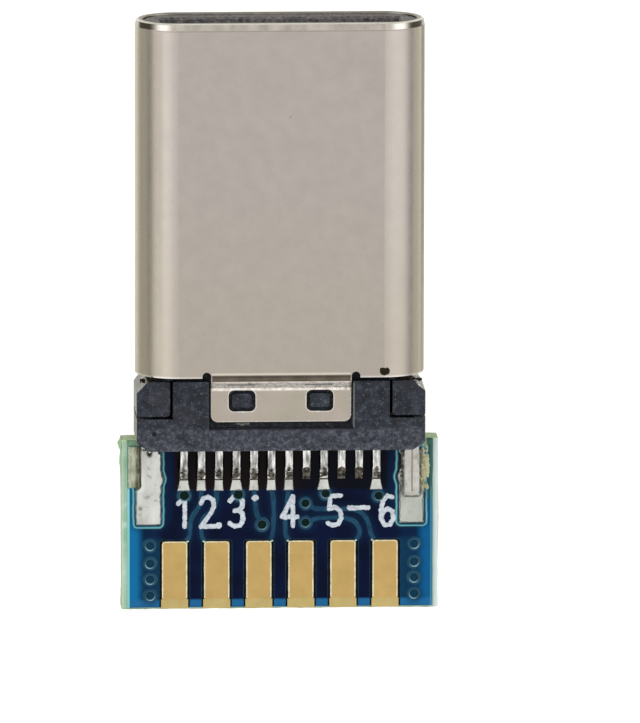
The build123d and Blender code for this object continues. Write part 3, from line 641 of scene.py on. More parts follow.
def line_distance(x, y, points):
    """Distance from a line through points."""
    best = np.full(np.shape(x), 1e9)
    for (ax, ay), (bx, by) in zip(points, points[1:]):
        dx, dy = bx - ax, by - ay
        along = np.clip(((x - ax) * dx + (y - ay) * dy) / max(dx * dx + dy * dy, 1e-12), 0, 1)
        best = np.minimum(best, np.hypot(x - ax - along * dx, y - ay - along * dy))
    return best


def closed_pairs(corners):
    """Neighbouring corners of a closed outline."""
    return zip(corners, list(corners[1:]) + [corners[0]])


def outline_distance(x, y, corners):
    """Signed distance from a closed outline, negative inside."""
    away = line_distance(x, y, list(corners) + [corners[0]])
    inside = np.zeros(np.shape(x), dtype=bool)
    for (ax, ay), (bx, by) in closed_pairs(corners):
        crosses = (ay > y) != (by > y)
        reach = ax + (y - ay) * (bx - ax) / ((by - ay) if by != ay else 1e-12)
        inside ^= crosses & (x < reach)
    return np.where(inside, -away, away)


def between(start, end, parts):
    """Points from a start towards an end, without the end."""
    (ax, ay), (bx, by) = start, end
    return [(ax + (bx - ax) * k / parts, ay + (by - ay) * k / parts) for k in range(parts)]


def subdivided(outline, spacing, rounding=math.ceil):
    """Closed outline with points about as far apart as the spacing."""
    filled = []
    for start, end in closed_pairs(outline):
        filled += between(start, end, max(1, rounding(math.dist(start, end) / spacing)))
    return filled


def relief(name, slot, material, limits, step, surface, base, face=1, shade_and_dirt=None):
    """Sheet over a rectangle in plan: it shows where surface(x, y) is above base(x, y) and ends below it."""
    x_low, x_high, y_low, y_high = limits
    columns = max(2, round((x_high - x_low) / step) + 1)
    rows = max(2, round((y_high - y_low) / step) + 1)
    x, y = np.meshgrid(np.linspace(x_low, x_high, columns), np.linspace(y_low, y_high, rows))
    ground = base(x, y)
    top = surface(x, y)
    above = top > ground
    level = np.where(above, top, np.maximum(top, ground - SKIRT))
    index = -np.ones(x.shape, dtype=int)
    faces, points, values = [], [], []
    darkness = shade_and_dirt(x, y) if shade_and_dirt else np.zeros(x.shape)

    def vertex(row, column):
        if index[row, column] < 0:
            index[row, column] = len(points)
            points.append((x[row, column], y[row, column], MIDDLE_Z + face * level[row, column]))
            values.append(float(darkness[row, column]))
        return index[row, column]

    for row in range(rows - 1):
        for column in range(columns - 1):
            if above[row : row + 2, column : column + 2].any():
                spots = ((row, column), (row, column + 1), (row + 1, column + 1), (row + 1, column))
                cell = [vertex(*spot) for spot in spots]
                faces.append(cell if face > 0 else cell[::-1])
    return make_piece(name, slot, material, points, faces, {"shade_and_dirt": values})


# Board faces: coating with its ridges, openings and holes


def rounded_line(points, reach=0.16, pieces=5):
    """Line through points whose corners are turned into short curves."""
    line = [points[0]]
    for before, corner, after in zip(points, points[1:], points[2:]):
        corner = Vector(corner)
        ends = []
        for other in (before, after):
            away = Vector(other) - corner
            ends.append(corner + away.normalized() * min(reach, away.length / 2))
        for count in range(pieces + 1):
            t = count / pieces
            line.append(tuple(ends[0] * (1 - t) ** 2 + corner * 2 * t * (1 - t) + ends[1] * t**2))
    line.append(points[-1])
    return line


def contact_x(place):
    """Place of a contact along X."""
    return (place - 6.5) * CONTACT_PITCH


def wire_pad_x(pad):
    """Place of a wire pad along X."""
    return (pad - 3.5) * WIRE_PAD_PITCH


def contact_pad_outline(place):
    """Outline of a contact's pad, as in the CAD part."""
    x = contact_x(place)
    flare = 0.18 if place in VIA_PLACES else 0.135
    right = [(0.09, BOARD_FRONT - 0.45), (0.09, TAIL_END), (0.1175, TAIL_END), (flare, PAD_END)]
    return [(x + w, y) for w, y in right] + [(x - w, y) for w, y in reversed(right)]


# Vias as X, Y and radius, and the corners of the traces
UPPER_VIAS = (
    (-2.73, -5.22, 0.135),
    (-1.19, -5.20, 0.135),
    (1.30, -5.19, 0.12),
    (2.82, -5.27, 0.12),
    (-0.51, -6.08, 0.13),
    (0.73, -5.47, 0.12),
    (0.73, -6.03, 0.12),
)
LOWER_VIAS = UPPER_VIAS[:4] + UPPER_VIAS[5:]
STITCH_VIAS = tuple((x, y, 0.126) for x in (-3.71, 3.84) for y in (-6.67, -7.19, -7.65, -8.12))
UPPER_TRACES = (
    ((-2.25, -5.0), (-2.25, -5.46), (-2.43, -5.70), (-2.57, -5.98), (-2.575, -6.42), (-2.70, -6.56)),
    ((-1.80, -5.0), (-1.83, -5.50), (-1.97, -5.70), (-2.20, -5.86))
    + ((-2.25, -6.10), (-2.25, -6.40), (-2.14, -6.56)),
    ((-0.75, -5.0), (-0.72, -5.40), (-0.67, -5.80), (-0.51, -6.08)),
    ((-0.25, -5.0), (-0.19, -5.30), (-0.17, -5.80), (-0.20, -6.35), (-0.28, -6.56)),
    ((0.25, -5.0), (0.22, -5.40), (0.15, -5.90), (0.15, -6.36), (0.26, -6.56)),
    ((0.73, -5.47), (1.02, -5.64), (2.12, -5.64), (2.40, -5.78), (2.53, -6.05), (2.60, -6.38), (2.72, -6.56)),
    ((0.73, -6.03), (1.02, -5.90), (1.80, -5.88), (2.14, -5.98), (2.29, -6.22), (2.27, -6.42), (2.16, -6.56)),
)
LOWER_TRACES = (
    ((-2.25, -5.0), (-2.25, -5.50), (-2.68, -5.93), (-2.68, -6.56)),
    ((-1.75, -5.0), (-1.75, -5.50), (-2.12, -5.90), (-2.12, -6.56)),
    ((-0.75, -5.0), (-0.75, -5.50), (-0.60, -5.66), (-0.60, -6.56)),
    ((0.75, -5.0), (0.75, -5.50), (0.60, -5.66), (0.60, -6.56)),
    ((1.75, -5.0), (1.75, -5.50), (2.12, -5.90), (2.12, -6.56)),
    ((2.25, -5.0), (2.25, -5.50), (2.68, -5.93), (2.68, -6.56)),
)

# Distances from the copper, a via or an opening where the coating's mesh is close
TRACE_OFFSETS = (-0.08, -0.065, -0.05, -0.036, 0, 0.036, 0.05, 0.065, 0.08)
VIA_OFFSETS = (0.03, 0.053, 0.066, 0.084, 0.098)
SHIELD_OFFSETS = (0.02, 0.036, 0.05, 0.062, 0.074, 0.088, 0.102, 0.12, 0.15)


class BoardFace:
    """One face of the board: its copper, openings and coating."""

    def __init__(self, face):
        self.face = face
        self.upper = face > 0
        self.which = "upper" if self.upper else "lower"
        self.places = UPPER_PLACES if self.upper else LOWER_PLACES
        self.vias = (UPPER_VIAS if self.upper else LOWER_VIAS) + STITCH_VIAS
        self.traces = [rounded_line(line) for line in (UPPER_TRACES if self.upper else LOWER_TRACES)]
        self.traces += [[(contact_x(p), PAD_END + 0.1), (contact_x(p), PAD_END - 0.12)] for p in VIA_PLACES]
        self.shield_x = SHIELD_PAD_X if self.upper else LOWER_SHIELD_PAD_X

    def shield_outline(self, side, x, y):
        """Signed distance from the opening over a shield pad, uneven as the coating is there."""
        centre = side * self.shield_x
        limits = (centre - 0.37, centre + 0.37, BOARD_FRONT - 2.48, BOARD_FRONT - 0.28)
        away = rectangle_distance(x, y, *limits, 0.06)
        bulge = bell(y + 4.72, 0.15) * 0.07 * (side * x < self.shield_x)
        return away - bulge + 0.005 * np.sin(y * 9 + side) + 0.004 * np.sin(y * 23 + x * 3)

    def copper_distance(self, x, y):
        """Signed distance from the copper below the coating, negative over it."""
        away = np.full(np.shape(x), 9.0)
        for line in self.traces:
            away = np.minimum(away, line_distance(x, y, line) - TRACE_HALF)
        for via_x, via_y, radius in self.vias:
            away = np.minimum(away, np.hypot(x - via_x, y - via_y) - radius - COPPER_RING)
        for side in (-1, 1):
            away = np.minimum(away, self.shield_outline(side, x, y) - COPPER_RING)
        return away

    def copper(self, x, y):
        """How far a place is over copper, from 0 to 1 across the copper's sloping edge."""
        return smooth_step(0.02, -0.02, self.copper_distance(x, y))

    def glow(self, x, y):
        """Teal tint around the copper, fading over the laminate."""
        return smooth_step(0.18, 0.0, self.copper_distance(x, y))

    def halo(self, x, y):
        """Pale line in the coating around the shield pads."""
        away = np.minimum(self.shield_outline(-1, x, y), self.shield_outline(1, x, y)) - HALO_REACH
        return np.where(np.abs(away) < 0.05, bell(away, 0.022), 0.0)

    def top(self, x, y):
        """Level of the coating's surface."""
        return MASK_TOP + COPPER * self.copper(x, y)

    def holes(self):
        """Closed outlines of the coating's openings."""
        outlines = [contact_pad_outline(place) for place in self.places]
        half, corner = 0.43, 0.07
        front, back = WIRE_PAD_FRONT + 0.05, BOARD_BACK + 0.02
        for x in map(wire_pad_x, WIRE_PADS):
            outline = [(x - half, back), (x - half, front - corner), (x - half + corner, front)]
            outline += [(x + half - corner, front), (x + half, front - corner), (x + half, back)]
            outlines.append(outline)
        outlines += [self.traced_outline(side) for side in (-1, 1)]
        turns = [math.tau * count / 22 for count in range(22)]
        for via_x, via_y, radius in self.vias:
            outlines.append([(via_x + radius * math.cos(a), via_y + radius * math.sin(a)) for a in turns])
        return outlines

    def traced_outline(self, side):
        """Outline of a shield pad's opening, found along rays from its middle."""
        outline = []
        for count in range(120):
            angle = math.tau * count / 120
            low, high = 0.1, 1.6
            for _ in range(22):
                reach = (low + high) / 2
                x = side * self.shield_x + reach * math.cos(angle)
                y = SHIELD_PAD_MIDDLE + reach * math.sin(angle)
                if self.shield_outline(side, np.float64(x), np.float64(y)) < 0:
                    low = reach
                else:
                    high = reach
            outline.append((x, y))
        return outline

    def scattered_points(self):
        """Points over the face, close together where the coating climbs over copper."""
        spots = []
        for line in self.traces:
            for (ax, ay), (bx, by) in zip(line, line[1:]):
                length = math.hypot(bx - ax, by - ay)
                if length < 1e-6:
                    continue
                nx, ny = -(by - ay) / length, (bx - ax) / length
                for x, y in between((ax, ay), (bx, by), max(1, round(length / 0.05))):
                    spots += [(x + nx * offset, y + ny * offset) for offset in TRACE_OFFSETS]
        for via_x, via_y, radius in self.vias:
            for offset in VIA_OFFSETS:
                for count in range(30):
                    angle = math.tau * (count + offset * 40) / 30
                    away = radius + offset
                    spots.append((via_x + away * math.cos(angle), via_y + away * math.sin(angle)))
        for side in (-1, 1):
            line = np.array(subdivided(self.traced_outline(side), 0.035))
            slopes = []
            for nudge in np.array(((0.004, 0), (0, 0.004))):
                ahead, behind = (line + nudge).T, (line - nudge).T
                slopes.append(self.shield_outline(side, *ahead) - self.shield_outline(side, *behind))
            normal = np.stack(slopes, 1)
            normal /= np.maximum(np.linalg.norm(normal, axis=1, keepdims=True), 1e-6)
            for offset in SHIELD_OFFSETS:
                spots += [tuple(spot) for spot in (line + normal * offset).tolist()]
        columns, rows = 78, 44
        for column in range(1, columns):
            for row in range(1, rows):
                x = -MASK_SIDE + 2 * MASK_SIDE * column / columns
                y = BOARD_BACK + 0.04 + (BOARD_FRONT - BOARD_BACK - 0.04) * row / rows
                spots.append((x + 0.01 * math.sin(row * 7), y + 0.01 * math.sin(column * 5)))
        return spots

    def coating(self):
        """The coating as one mesh with skirts down to the laminate."""
        back, side = BOARD_BACK + 0.04, MASK_SIDE + 0.07
        corners = ((-side, back), (-side, BOARD_FRONT), (side, BOARD_FRONT), (side, back))
        edge = []
        for (start, end), parts in zip(closed_pairs(corners), (90, 160, 90, 160)):
            edge += between(start, end, parts)
        edge = [(x + 0.012 * wobble(x, y, 2.2, 3.0), y) if abs(x) == side else (x, y) for x, y in edge]
        holes = self.holes()
        spots, constraints = [], []
        for outline in [edge] + [subdivided(hole, 0.06) for hole in holes]:
            first = len(spots)
            spots += outline
            constraints += [(first + n, first + (n + 1) % len(outline)) for n in range(len(outline))]
        spots += self.scattered_points()
        flat_points, _, triangles, *_ = delaunay_2d_cdt([Vector(p) for p in spots], constraints, [], 0, 1e-6)
        x, y = np.array([tuple(p) for p in flat_points]).T
        triangles = np.array([list(t) for t in triangles])
        middle_x, middle_y = x[triangles].mean(1), y[triangles].mean(1)
        keep = rectangle_distance(middle_x, middle_y, -side - 0.012, side + 0.012, back, BOARD_FRONT) < 0
        keep &= outline_distance(middle_x, middle_y, edge) < 0
        for outline in holes:
            near = np.hypot(middle_x - outline[0][0], middle_y - outline[0][1]) < 4.6
            picked = np.where(near & keep)[0]
            keep[picked] &= outline_distance(middle_x[picked], middle_y[picked], outline) > 0
        triangles = triangles[keep]
        points = [(a, b, MIDDLE_Z + self.face * c) for a, b, c in zip(x, y, self.top(x, y))]
        a, b, c = (np.stack([x[triangles[:, k]], y[triangles[:, k]]], 1) for k in range(3))
        turn = (b[:, 0] - a[:, 0]) * (c[:, 1] - a[:, 1]) - (b[:, 1] - a[:, 1]) * (c[:, 0] - a[:, 0])
        faces = [tuple(t if w * self.face > 0 else t[::-1]) for t, w in zip(triangles.tolist(), turn)]
        used = {pair: None for face in faces for pair in zip(face, face[1:] + face[:1])}
        values = {name: list(getattr(self, name)(x, y)) for name in ("copper", "halo", "glow")}
        low = {}  # Number of the point below each point of a border
        for start, end in [pair for pair in used if (pair[1], pair[0]) not in used]:
            for spot in (start, end):
                if spot not in low:
                    low[spot] = len(points)
                    points.append((x[spot], y[spot], MIDDLE_Z + self.face * BOARD_TOP))
                    for numbers in values.values():
                        numbers.append(numbers[spot])
            faces.append((end, start, low[start], low[end]))
        piece = make_piece(f"{self.which}_coating", "blue_mask", "mask", points, faces, values)
        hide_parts("upper_solder_mask" if self.upper else "lower_solder_mask")

    def via_barrels(self):
        """Plated rim, with a painted glint on one side, and dark pit of painted shade, of each via."""
        pits, rims, shine = ([], []), ([], []), []
        turns = 24
        top = MASK + COPPER
        for number, (via_x, via_y, radius) in enumerate(self.vias):
            pit = ((radius * 1.02, 0.014), (radius * 0.85, 0.006), (0.0, 0.002))
            self.lathe(*pits, via_x, via_y, turns, pit)
            rim = ((0.028, top - 0.004), (0.015, top + 0.008), (0.002, top + 0.002), (-0.010, 0.004))
            self.lathe(*rims, via_x, via_y, turns, [(radius + out, level) for out, level in rim])
            # Painted glint: each rim is lighter on one side, more at the stitching vias
            strength = 0.62 if number >= len(self.vias) - len(STITCH_VIAS) else 0.3
            leans = [-math.sin(math.tau * count / turns + 0.5 * math.sin(number)) for count in range(turns)]
            shine += [strength * max(0.0, lean) ** 1.5 + 0.12 for lean in leans] * len(rim)
        make_piece(f"{self.which}_via_pits", "blue_mask", "hole", *pits)
        make_piece(f"{self.which}_via_rims", "tinned_copper", "via_rim", *rims, {"shine": shine})

    def lathe(self, points, faces, x, y, turns, profile):
        """Add a turned form around a place of the face, from radii and levels over the laminate."""
        faces += grid_faces(len(profile), turns, self.face < 0, len(points), ring=True)
        for radius, level in profile:
            z = MIDDLE_Z + self.face * (BOARD_TOP + level)
            for count in range(turns):
                angle = math.tau * count / turns
                points.append((x + radius * math.cos(angle), y + radius * math.sin(angle), z))


# Solder


def shield_joints(board):
    """Solder on the shield pads: a full mound on the left, a bed below the bare leg on the right."""
    centre, which = board.shield_x, board.which

    def left(x, y):
        away = board.shield_outline(-1, x, y)
        inner = smooth_step(-centre + 0.1, -centre + 0.3, x)
        away = away + (0.004 + 0.02 * inner) * wobble(x, y, 7, 5.0) + 0.006 * wobble(x, y, 17, 8.0)
        limits = (-centre - 0.24, -centre + 0.31, BOARD_FRONT - 1.6, FLANGE_BACK + 0.06)
        reach = rectangle_distance(x, y, *limits, 0.02)
        away = np.minimum(away, np.maximum(reach, y - FLANGE_BACK))
        trim = 0.13 * smooth_step(FLANGE_BACK - 1.28, FLANGE_BACK - 1.1, y)
        away = np.maximum(away, trim - (x + centre + 0.38))
        body = smooth_step(0.03, -0.05, away)
        slope = smooth_step(LEG_END - 0.9, LEG_END + 0.15, y)
        crown = smooth_step(0.0, -0.3, away)
        cover = 0.07 * smooth_step(LEG_END + 0.5, FLANGE_BACK - 0.1, y)
        rise = body * (0.10 + 0.15 * slope + 0.03 * crown + cover) + 0.012 * wobble(x, y, 3.5, 1.0) * body
        notch = bell(x + centre - 0.03, 0.07) * bell(y - FLANGE_BACK + 0.10, 0.10)
        return np.where(away < 0.03, BOARD_TOP + rise - 0.12 * notch, BOARD_TOP - HIDDEN)

    # Painted shade in the notch by the flange, with a dark spot and dark patches along the rim
    def left_shade_and_dirt(x, y):
        dark = bell(x + centre - 0.03, 0.06) * bell(y - FLANGE_BACK + 0.12, 0.10)
        spot = bell(x + 4.0, 0.045) * bell(y + 5.55, 0.06)
        rim = smooth_step(-0.05, 0.0, board.shield_outline(-1, x, y))
        rim = rim * smooth_step(0.2, 0.6, wobble(x, y, 8, 2.0))
        return np.clip(1.2 * dark + 0.7 * spot + 0.5 * rim * (x > -centre), 0, 1)

    def right(x, y):
        away = board.shield_outline(1, x, y) + 0.015 * wobble(x, y, 9, 7.0)
        body = smooth_step(0.02, -0.09, away)
        beside = smooth_step(0.30, 0.20, np.abs(x - centre)) * smooth_step(LEG_END - 0.10, LEG_END + 0.02, y)
        rough = 0.035 * wobble(x, y, 9, 4.0) * smooth_step(LEG_END - 0.05, LEG_END + 0.1, y)
        return np.where(away < 0.02, BOARD_TOP + body * (0.075 + 0.09 * beside + rough), BOARD_TOP - HIDDEN)

    # Darker beside the leg, and painted shade just past the leg's end
    def right_shade_and_dirt(x, y):
        beside = smooth_step(LEG_END - 0.05, LEG_END + 0.1, y) * smooth_step(0.17, 0.24, np.abs(x - centre))
        tip = bell(y - LEG_END + 0.04, 0.03) * (np.abs(x - centre) < 0.2)
        return np.clip(beside * (0.55 + 0.6 * wobble(x, y, 9, 3.0)) + 0.7 * tip, 0, 1)

    along = (BOARD_FRONT - 2.6, FLANGE_BACK + 0.06)
    left_limits = (-centre - 0.5, -centre + 0.5, *along)
    right_limits = (centre - 0.45, centre + 0.45, *along)
    look = ("solder", "dull_tin")
    ground = flat(BOARD_TOP)
    piece = relief(f"{which}_left_joint", *look, left_limits, 0.02, left, ground, board.face, left_shade_and_dirt)
    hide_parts(f"{which}_shield_solder")
    relief(f"{which}_right_joint", *look, right_limits, 0.02, right, ground, board.face, right_shade_and_dirt)


def pad_fillets(board):
    """Solder behind each contact tail: a small dome that fills its pad's flare."""
    for place in board.places:
        centre = contact_x(place)
        outline = contact_pad_outline(place)

        def surface(x, y, outline=outline, place=place):
            away = outline_distance(x, y, outline) + 0.008 * wobble(x, y, 14, place)
            dome = smooth_step(0.015, -0.02, away)
            lean = smooth_step(PAD_END - 0.05, TAIL_END, y)
            level = MASK_TOP - 0.01 + dome * (0.04 + 0.045 * lean)
            level = level + 0.009 * wobble(x, y * 0.5, 14, 9.0 + place)
            gap = smooth_step(TAIL_END - 0.03, TAIL_END - 0.005, y)
            return np.where(away < 0.015, level - 0.09 * gap, BOARD_TOP - HIDDEN)

        limits = (centre - 0.2, centre + 0.2, PAD_END - 0.03, TAIL_END + 0.01)
        name = f"{board.which}_fillet_{place:02d}"
        relief(name, "solder", "tin", limits, 0.014, surface, flat(MASK_TOP - 0.004), board.face)


def tail_shade_and_dirt(out, x, y, place, soldered):
    """How dark a tail is, as painted shade and dark reflections with some stain: a wedge down its middle,
    blotches on its slope, a dark tip, and a dim foot with a lighter knee if unsoldered.
    """
    depth = FLANGE_BACK - y
    patch = wobble(x, y, 11, place + 70.0) + 0.6 * wobble(x, y, 24, place + 80.0)
    wedge = smooth_step(0.48, 0.64, depth) * smooth_step(0.93, 0.86, depth) * smooth_step(0.9, 0.25, out)
    blotch = smooth_step(0.66, 0.76, depth) * smooth_step(0.93, 0.88, depth)
    dark = wedge * (0.85 + 0.7 * patch) + blotch * (0.4 + 0.9 * patch)
    dark += smooth_step(0.90, 0.925, depth)
    if not soldered:
        dark += 0.75 * smooth_step(0.56, 0.64, depth) - 0.5 * smooth_step(0.08, 0.0, abs(depth - 0.80))
    return float(np.clip(dark, 0, 1))


# Sections of a tail's tin: place along Y, level, half width and half thickness
TAIL_STATIONS = (
    (FLANGE_BACK + 0.02, CONTACT_LEVEL, 0.103, 0.064),
    (FLANGE_BACK - 0.20, CONTACT_LEVEL, 0.106, 0.066),
    (FLANGE_BACK - 0.42, CONTACT_LEVEL, 0.102, 0.065),
    (FLANGE_BACK - 0.54, CONTACT_LEVEL - 0.004, 0.101, 0.066),
    (FLANGE_BACK - 0.60, CONTACT_LEVEL - 0.022, 0.110, 0.070),
    (FLANGE_BACK - 0.66, CONTACT_LEVEL - 0.060, 0.118, 0.072),
    (FLANGE_BACK - 0.72, CONTACT_LEVEL - 0.098, 0.117, 0.070),
    (FLANGE_BACK - 0.76, FOOT_LEVEL + 0.004, 0.112, 0.067),
    (FLANGE_BACK - 0.84, FOOT_LEVEL, 0.110, 0.066),
    (TAIL_END - 0.004, FOOT_LEVEL, 0.106, 0.062),
)


def tail_sleeve(name, place, face, soldered):
    """Tin over a contact's tail: it follows the gull wing and swells at the knee."""
    turns, parts = 32, 6
    centre = contact_x(place) * face
    sections = []
    for start, end in zip(TAIL_STATIONS, TAIL_STATIONS[1:]):
        sections += [[a + (b - a) * (n / parts) for a, b in zip(start, end)] for n in range(parts)]
    sections.append(TAIL_STATIONS[-1])
    points, shade_and_dirt = [], []
    for y, z, width, thickness in sections:
        swell = 1.02 + 0.05 * wobble(centre, y, 9, place + 20.0)
        if not soldered and y < FLANGE_BACK - 0.7:
            swell *= 0.93
        for count in range(turns):
            angle = math.tau * count / turns
            c, s = math.cos(angle), math.sin(angle)
            across = math.copysign(abs(c) ** 0.35, c) * (width + 0.004) * swell
            up = math.copysign(abs(s) ** 0.3, s) * (thickness + 0.009)
            up += 0.004 * wobble(centre + across, y, 15, place + 40.0)
            points.append((centre + across, y, MIDDLE_Z + face * (z + up)))
            shade_and_dirt.append(tail_shade_and_dirt(abs(across) / width, centre + across, y, place, soldered))
    faces = grid_faces(len(sections), turns, face < 0, ring=True)
    cap = list(range(len(points) - turns, len(points)))
    faces.append(cap if face < 0 else cap[::-1])
    make_piece(name, "tinned_copper", "contact", points, faces, {"shade_and_dirt": shade_and_dirt})


# Print, dirt, painted shade and edges


# Strokes of each digit, in parts of its width and height
DIGITS = {
    "1": ([(0.12, 0.78), (0.42, 1.0), (0.42, 0.0)],),
    "2": (
        [(0.02, 0.78), (0.12, 0.95), (0.35, 1.0), (0.58, 0.9), (0.62, 0.7), (0.5, 0.48), (0.02, 0.0)]
        + [(0.66, 0.0)],
    ),
    "3": (
        [(0.03, 0.86), (0.2, 1.0), (0.46, 1.0), (0.62, 0.85), (0.6, 0.65), (0.44, 0.54), (0.26, 0.52)],
        [(0.44, 0.54), (0.62, 0.42), (0.64, 0.2), (0.5, 0.03), (0.24, 0.0), (0.02, 0.1)],
    ),
    "4": ([(0.5, 0.0), (0.5, 1.0), (0.0, 0.3), (0.7, 0.3)],),
    "5": (
        [(0.6, 1.0), (0.12, 1.0), (0.08, 0.56), (0.34, 0.62), (0.58, 0.5), (0.64, 0.26), (0.5, 0.05)]
        + [(0.24, 0.0), (0.02, 0.08)],
    ),
    "6": (
        [(0.56, 0.94), (0.34, 1.0), (0.14, 0.82), (0.05, 0.5), (0.06, 0.2), (0.22, 0.0), (0.46, 0.02)],
        [(0.46, 0.02), (0.62, 0.2), (0.58, 0.46), (0.36, 0.56), (0.14, 0.44), (0.06, 0.26)],
    ),
}
DIGIT_WIDTH, DIGIT_HEIGHT, DIGIT_BOTTOM = 0.62, 0.86, -6.12
DIGIT_PLACES = (("1", -2.98), ("2", -2.27), ("3", -1.45), ("4", 0.06), ("5", 1.36), ("6", 2.86))
DASH_AND_DOTS = (
    ((1.98, -5.61), (2.52, -5.61)),
    ((-1.76, -6.10), (-1.75, -6.09)),
    ((-0.72, -5.30), (-0.70, -5.29)),
)
STROKE, DOT = 0.068, 0.068 * 1.35


def print_marks(board):
    """Plain numbers printed in white between the pads, with a dash and two dots."""
    lines = []
    for digit, left in DIGIT_PLACES:
        for path in DIGITS[digit]:
            lines.append([(left + DIGIT_WIDTH * x, DIGIT_BOTTOM + DIGIT_HEIGHT * y) for x, y in path])
    for number, line in enumerate(lines + list(DASH_AND_DOTS)):
        width = DOT if math.dist(line[0], line[-1]) < 0.05 else STROKE

        def surface(x, y, line=line, width=width, number=number):
            away = line_distance(x, y, line) - width
            away = away + 0.016 * wobble(x, y, 11, 30.0 + number) + 0.008 * wobble(x, y, 27, 60.0 + number)
            for via_x, via_y, radius in board.vias:
                away = np.maximum(away, radius + 0.02 - np.hypot(x - via_x, y - via_y))
            thickness = smooth_step(0.004, -0.02, away) * 0.014
            return np.where(away < 0.004, board.top(x, y) + thickness + 0.0008 * (number % 3), 0)

        xs, ys = zip(*line)
        margin = width + 0.05
        limits = (min(xs) - margin, max(xs) + margin, min(ys) - margin, max(ys) + margin)
        relief(f"print_{number:02d}", "blue_mask", "silk", limits, 0.011, surface, board.top, board.face)


def side_burrs():
    """Torn glass cloth along the board's snapped sides and rear, with a spur at the left front corner."""
    rows, columns = 8, 150
    for side, name in ((-1, "left_fringe"), (1, "right_fringe")):
        points = []
        for column in range(columns + 1):
            y = BOARD_BACK + (BOARD_FRONT - BOARD_BACK) * column / columns
            tear = 0.5 + 0.5 * wobble(y, side * 3.0, 1.6, 11.0)
            fine = 0.5 + 0.5 * wobble(y, side * 3.0, 7.0, 12.0)
            reach = 0.012 + 0.038 * tear + 0.022 * fine
            if side < 0:
                reach += 0.10 * bell(y + 3.80, 0.10) + 0.03 * bell(y + 4.35, 0.2)
            else:
                reach -= 0.03 * bell(y + 3.7, 0.2)
            for row in range(rows + 1):
                z = -BOARD_TOP + 2 * BOARD_TOP * row / rows
                layer = 0.55 + 0.45 * wobble(y * 0.6, z * 9, 1.0, 13.0 + side)
                out = reach * layer * (1.0 if 0 < row < rows else 0.25)
                lift = 0.004 if row == rows else (-0.004 if row == 0 else 0)
                points.append((side * (BOARD_SIDE - 0.01 + out), y, MIDDLE_Z + z + lift))
        faces = [(a, d, c, b)[::side] for a, b, c, d in grid_faces(columns + 1, rows + 1)]
        make_piece(name, "laminate", "fringe", points, faces)
    columns = 160
    points = []
    for column in range(columns + 1):
        x = -BOARD_SIDE + 2 * BOARD_SIDE * column / columns
        reach = 0.028 + 0.014 * wobble(x, 1.0, 2.5, 14.0) + 0.008 * wobble(x, 2.0, 9, 15.0)
        for level, share in ((0.003, 0.6), (-0.03, 1), (0.03, 1), (-0.003, 0.6)):
            edge = BOARD_TOP if level in (0.003, -0.03) else -BOARD_TOP
            points.append((x, BOARD_BACK + 0.01 - reach * share, MIDDLE_Z + edge + level))
    make_piece("rear_fringe", "laminate", "fringe", points, grid_faces(columns + 1, 4))


def blob(x_middle, y_middle, half_x, half_y, height, base, seed, lumps=0.35, fineness=11):
    """Surface of a lumpy heap with an uneven outline."""

    def surface(x, y):
        reach = np.hypot((x - x_middle) / half_x, (y - y_middle) / half_y)
        reach = reach + lumps * wobble(x, y, 1.0 / max(half_x, 0.05), seed)
        reach = reach + 0.2 * wobble(x, y, fineness, seed + 1)
        bead = 0.6 + 0.6 * wobble(x, y, fineness, seed + 2)
        return np.where(reach < 1, base + height * smooth_step(1.0, 0.3, reach) * bead, base - HIDDEN)

    return surface


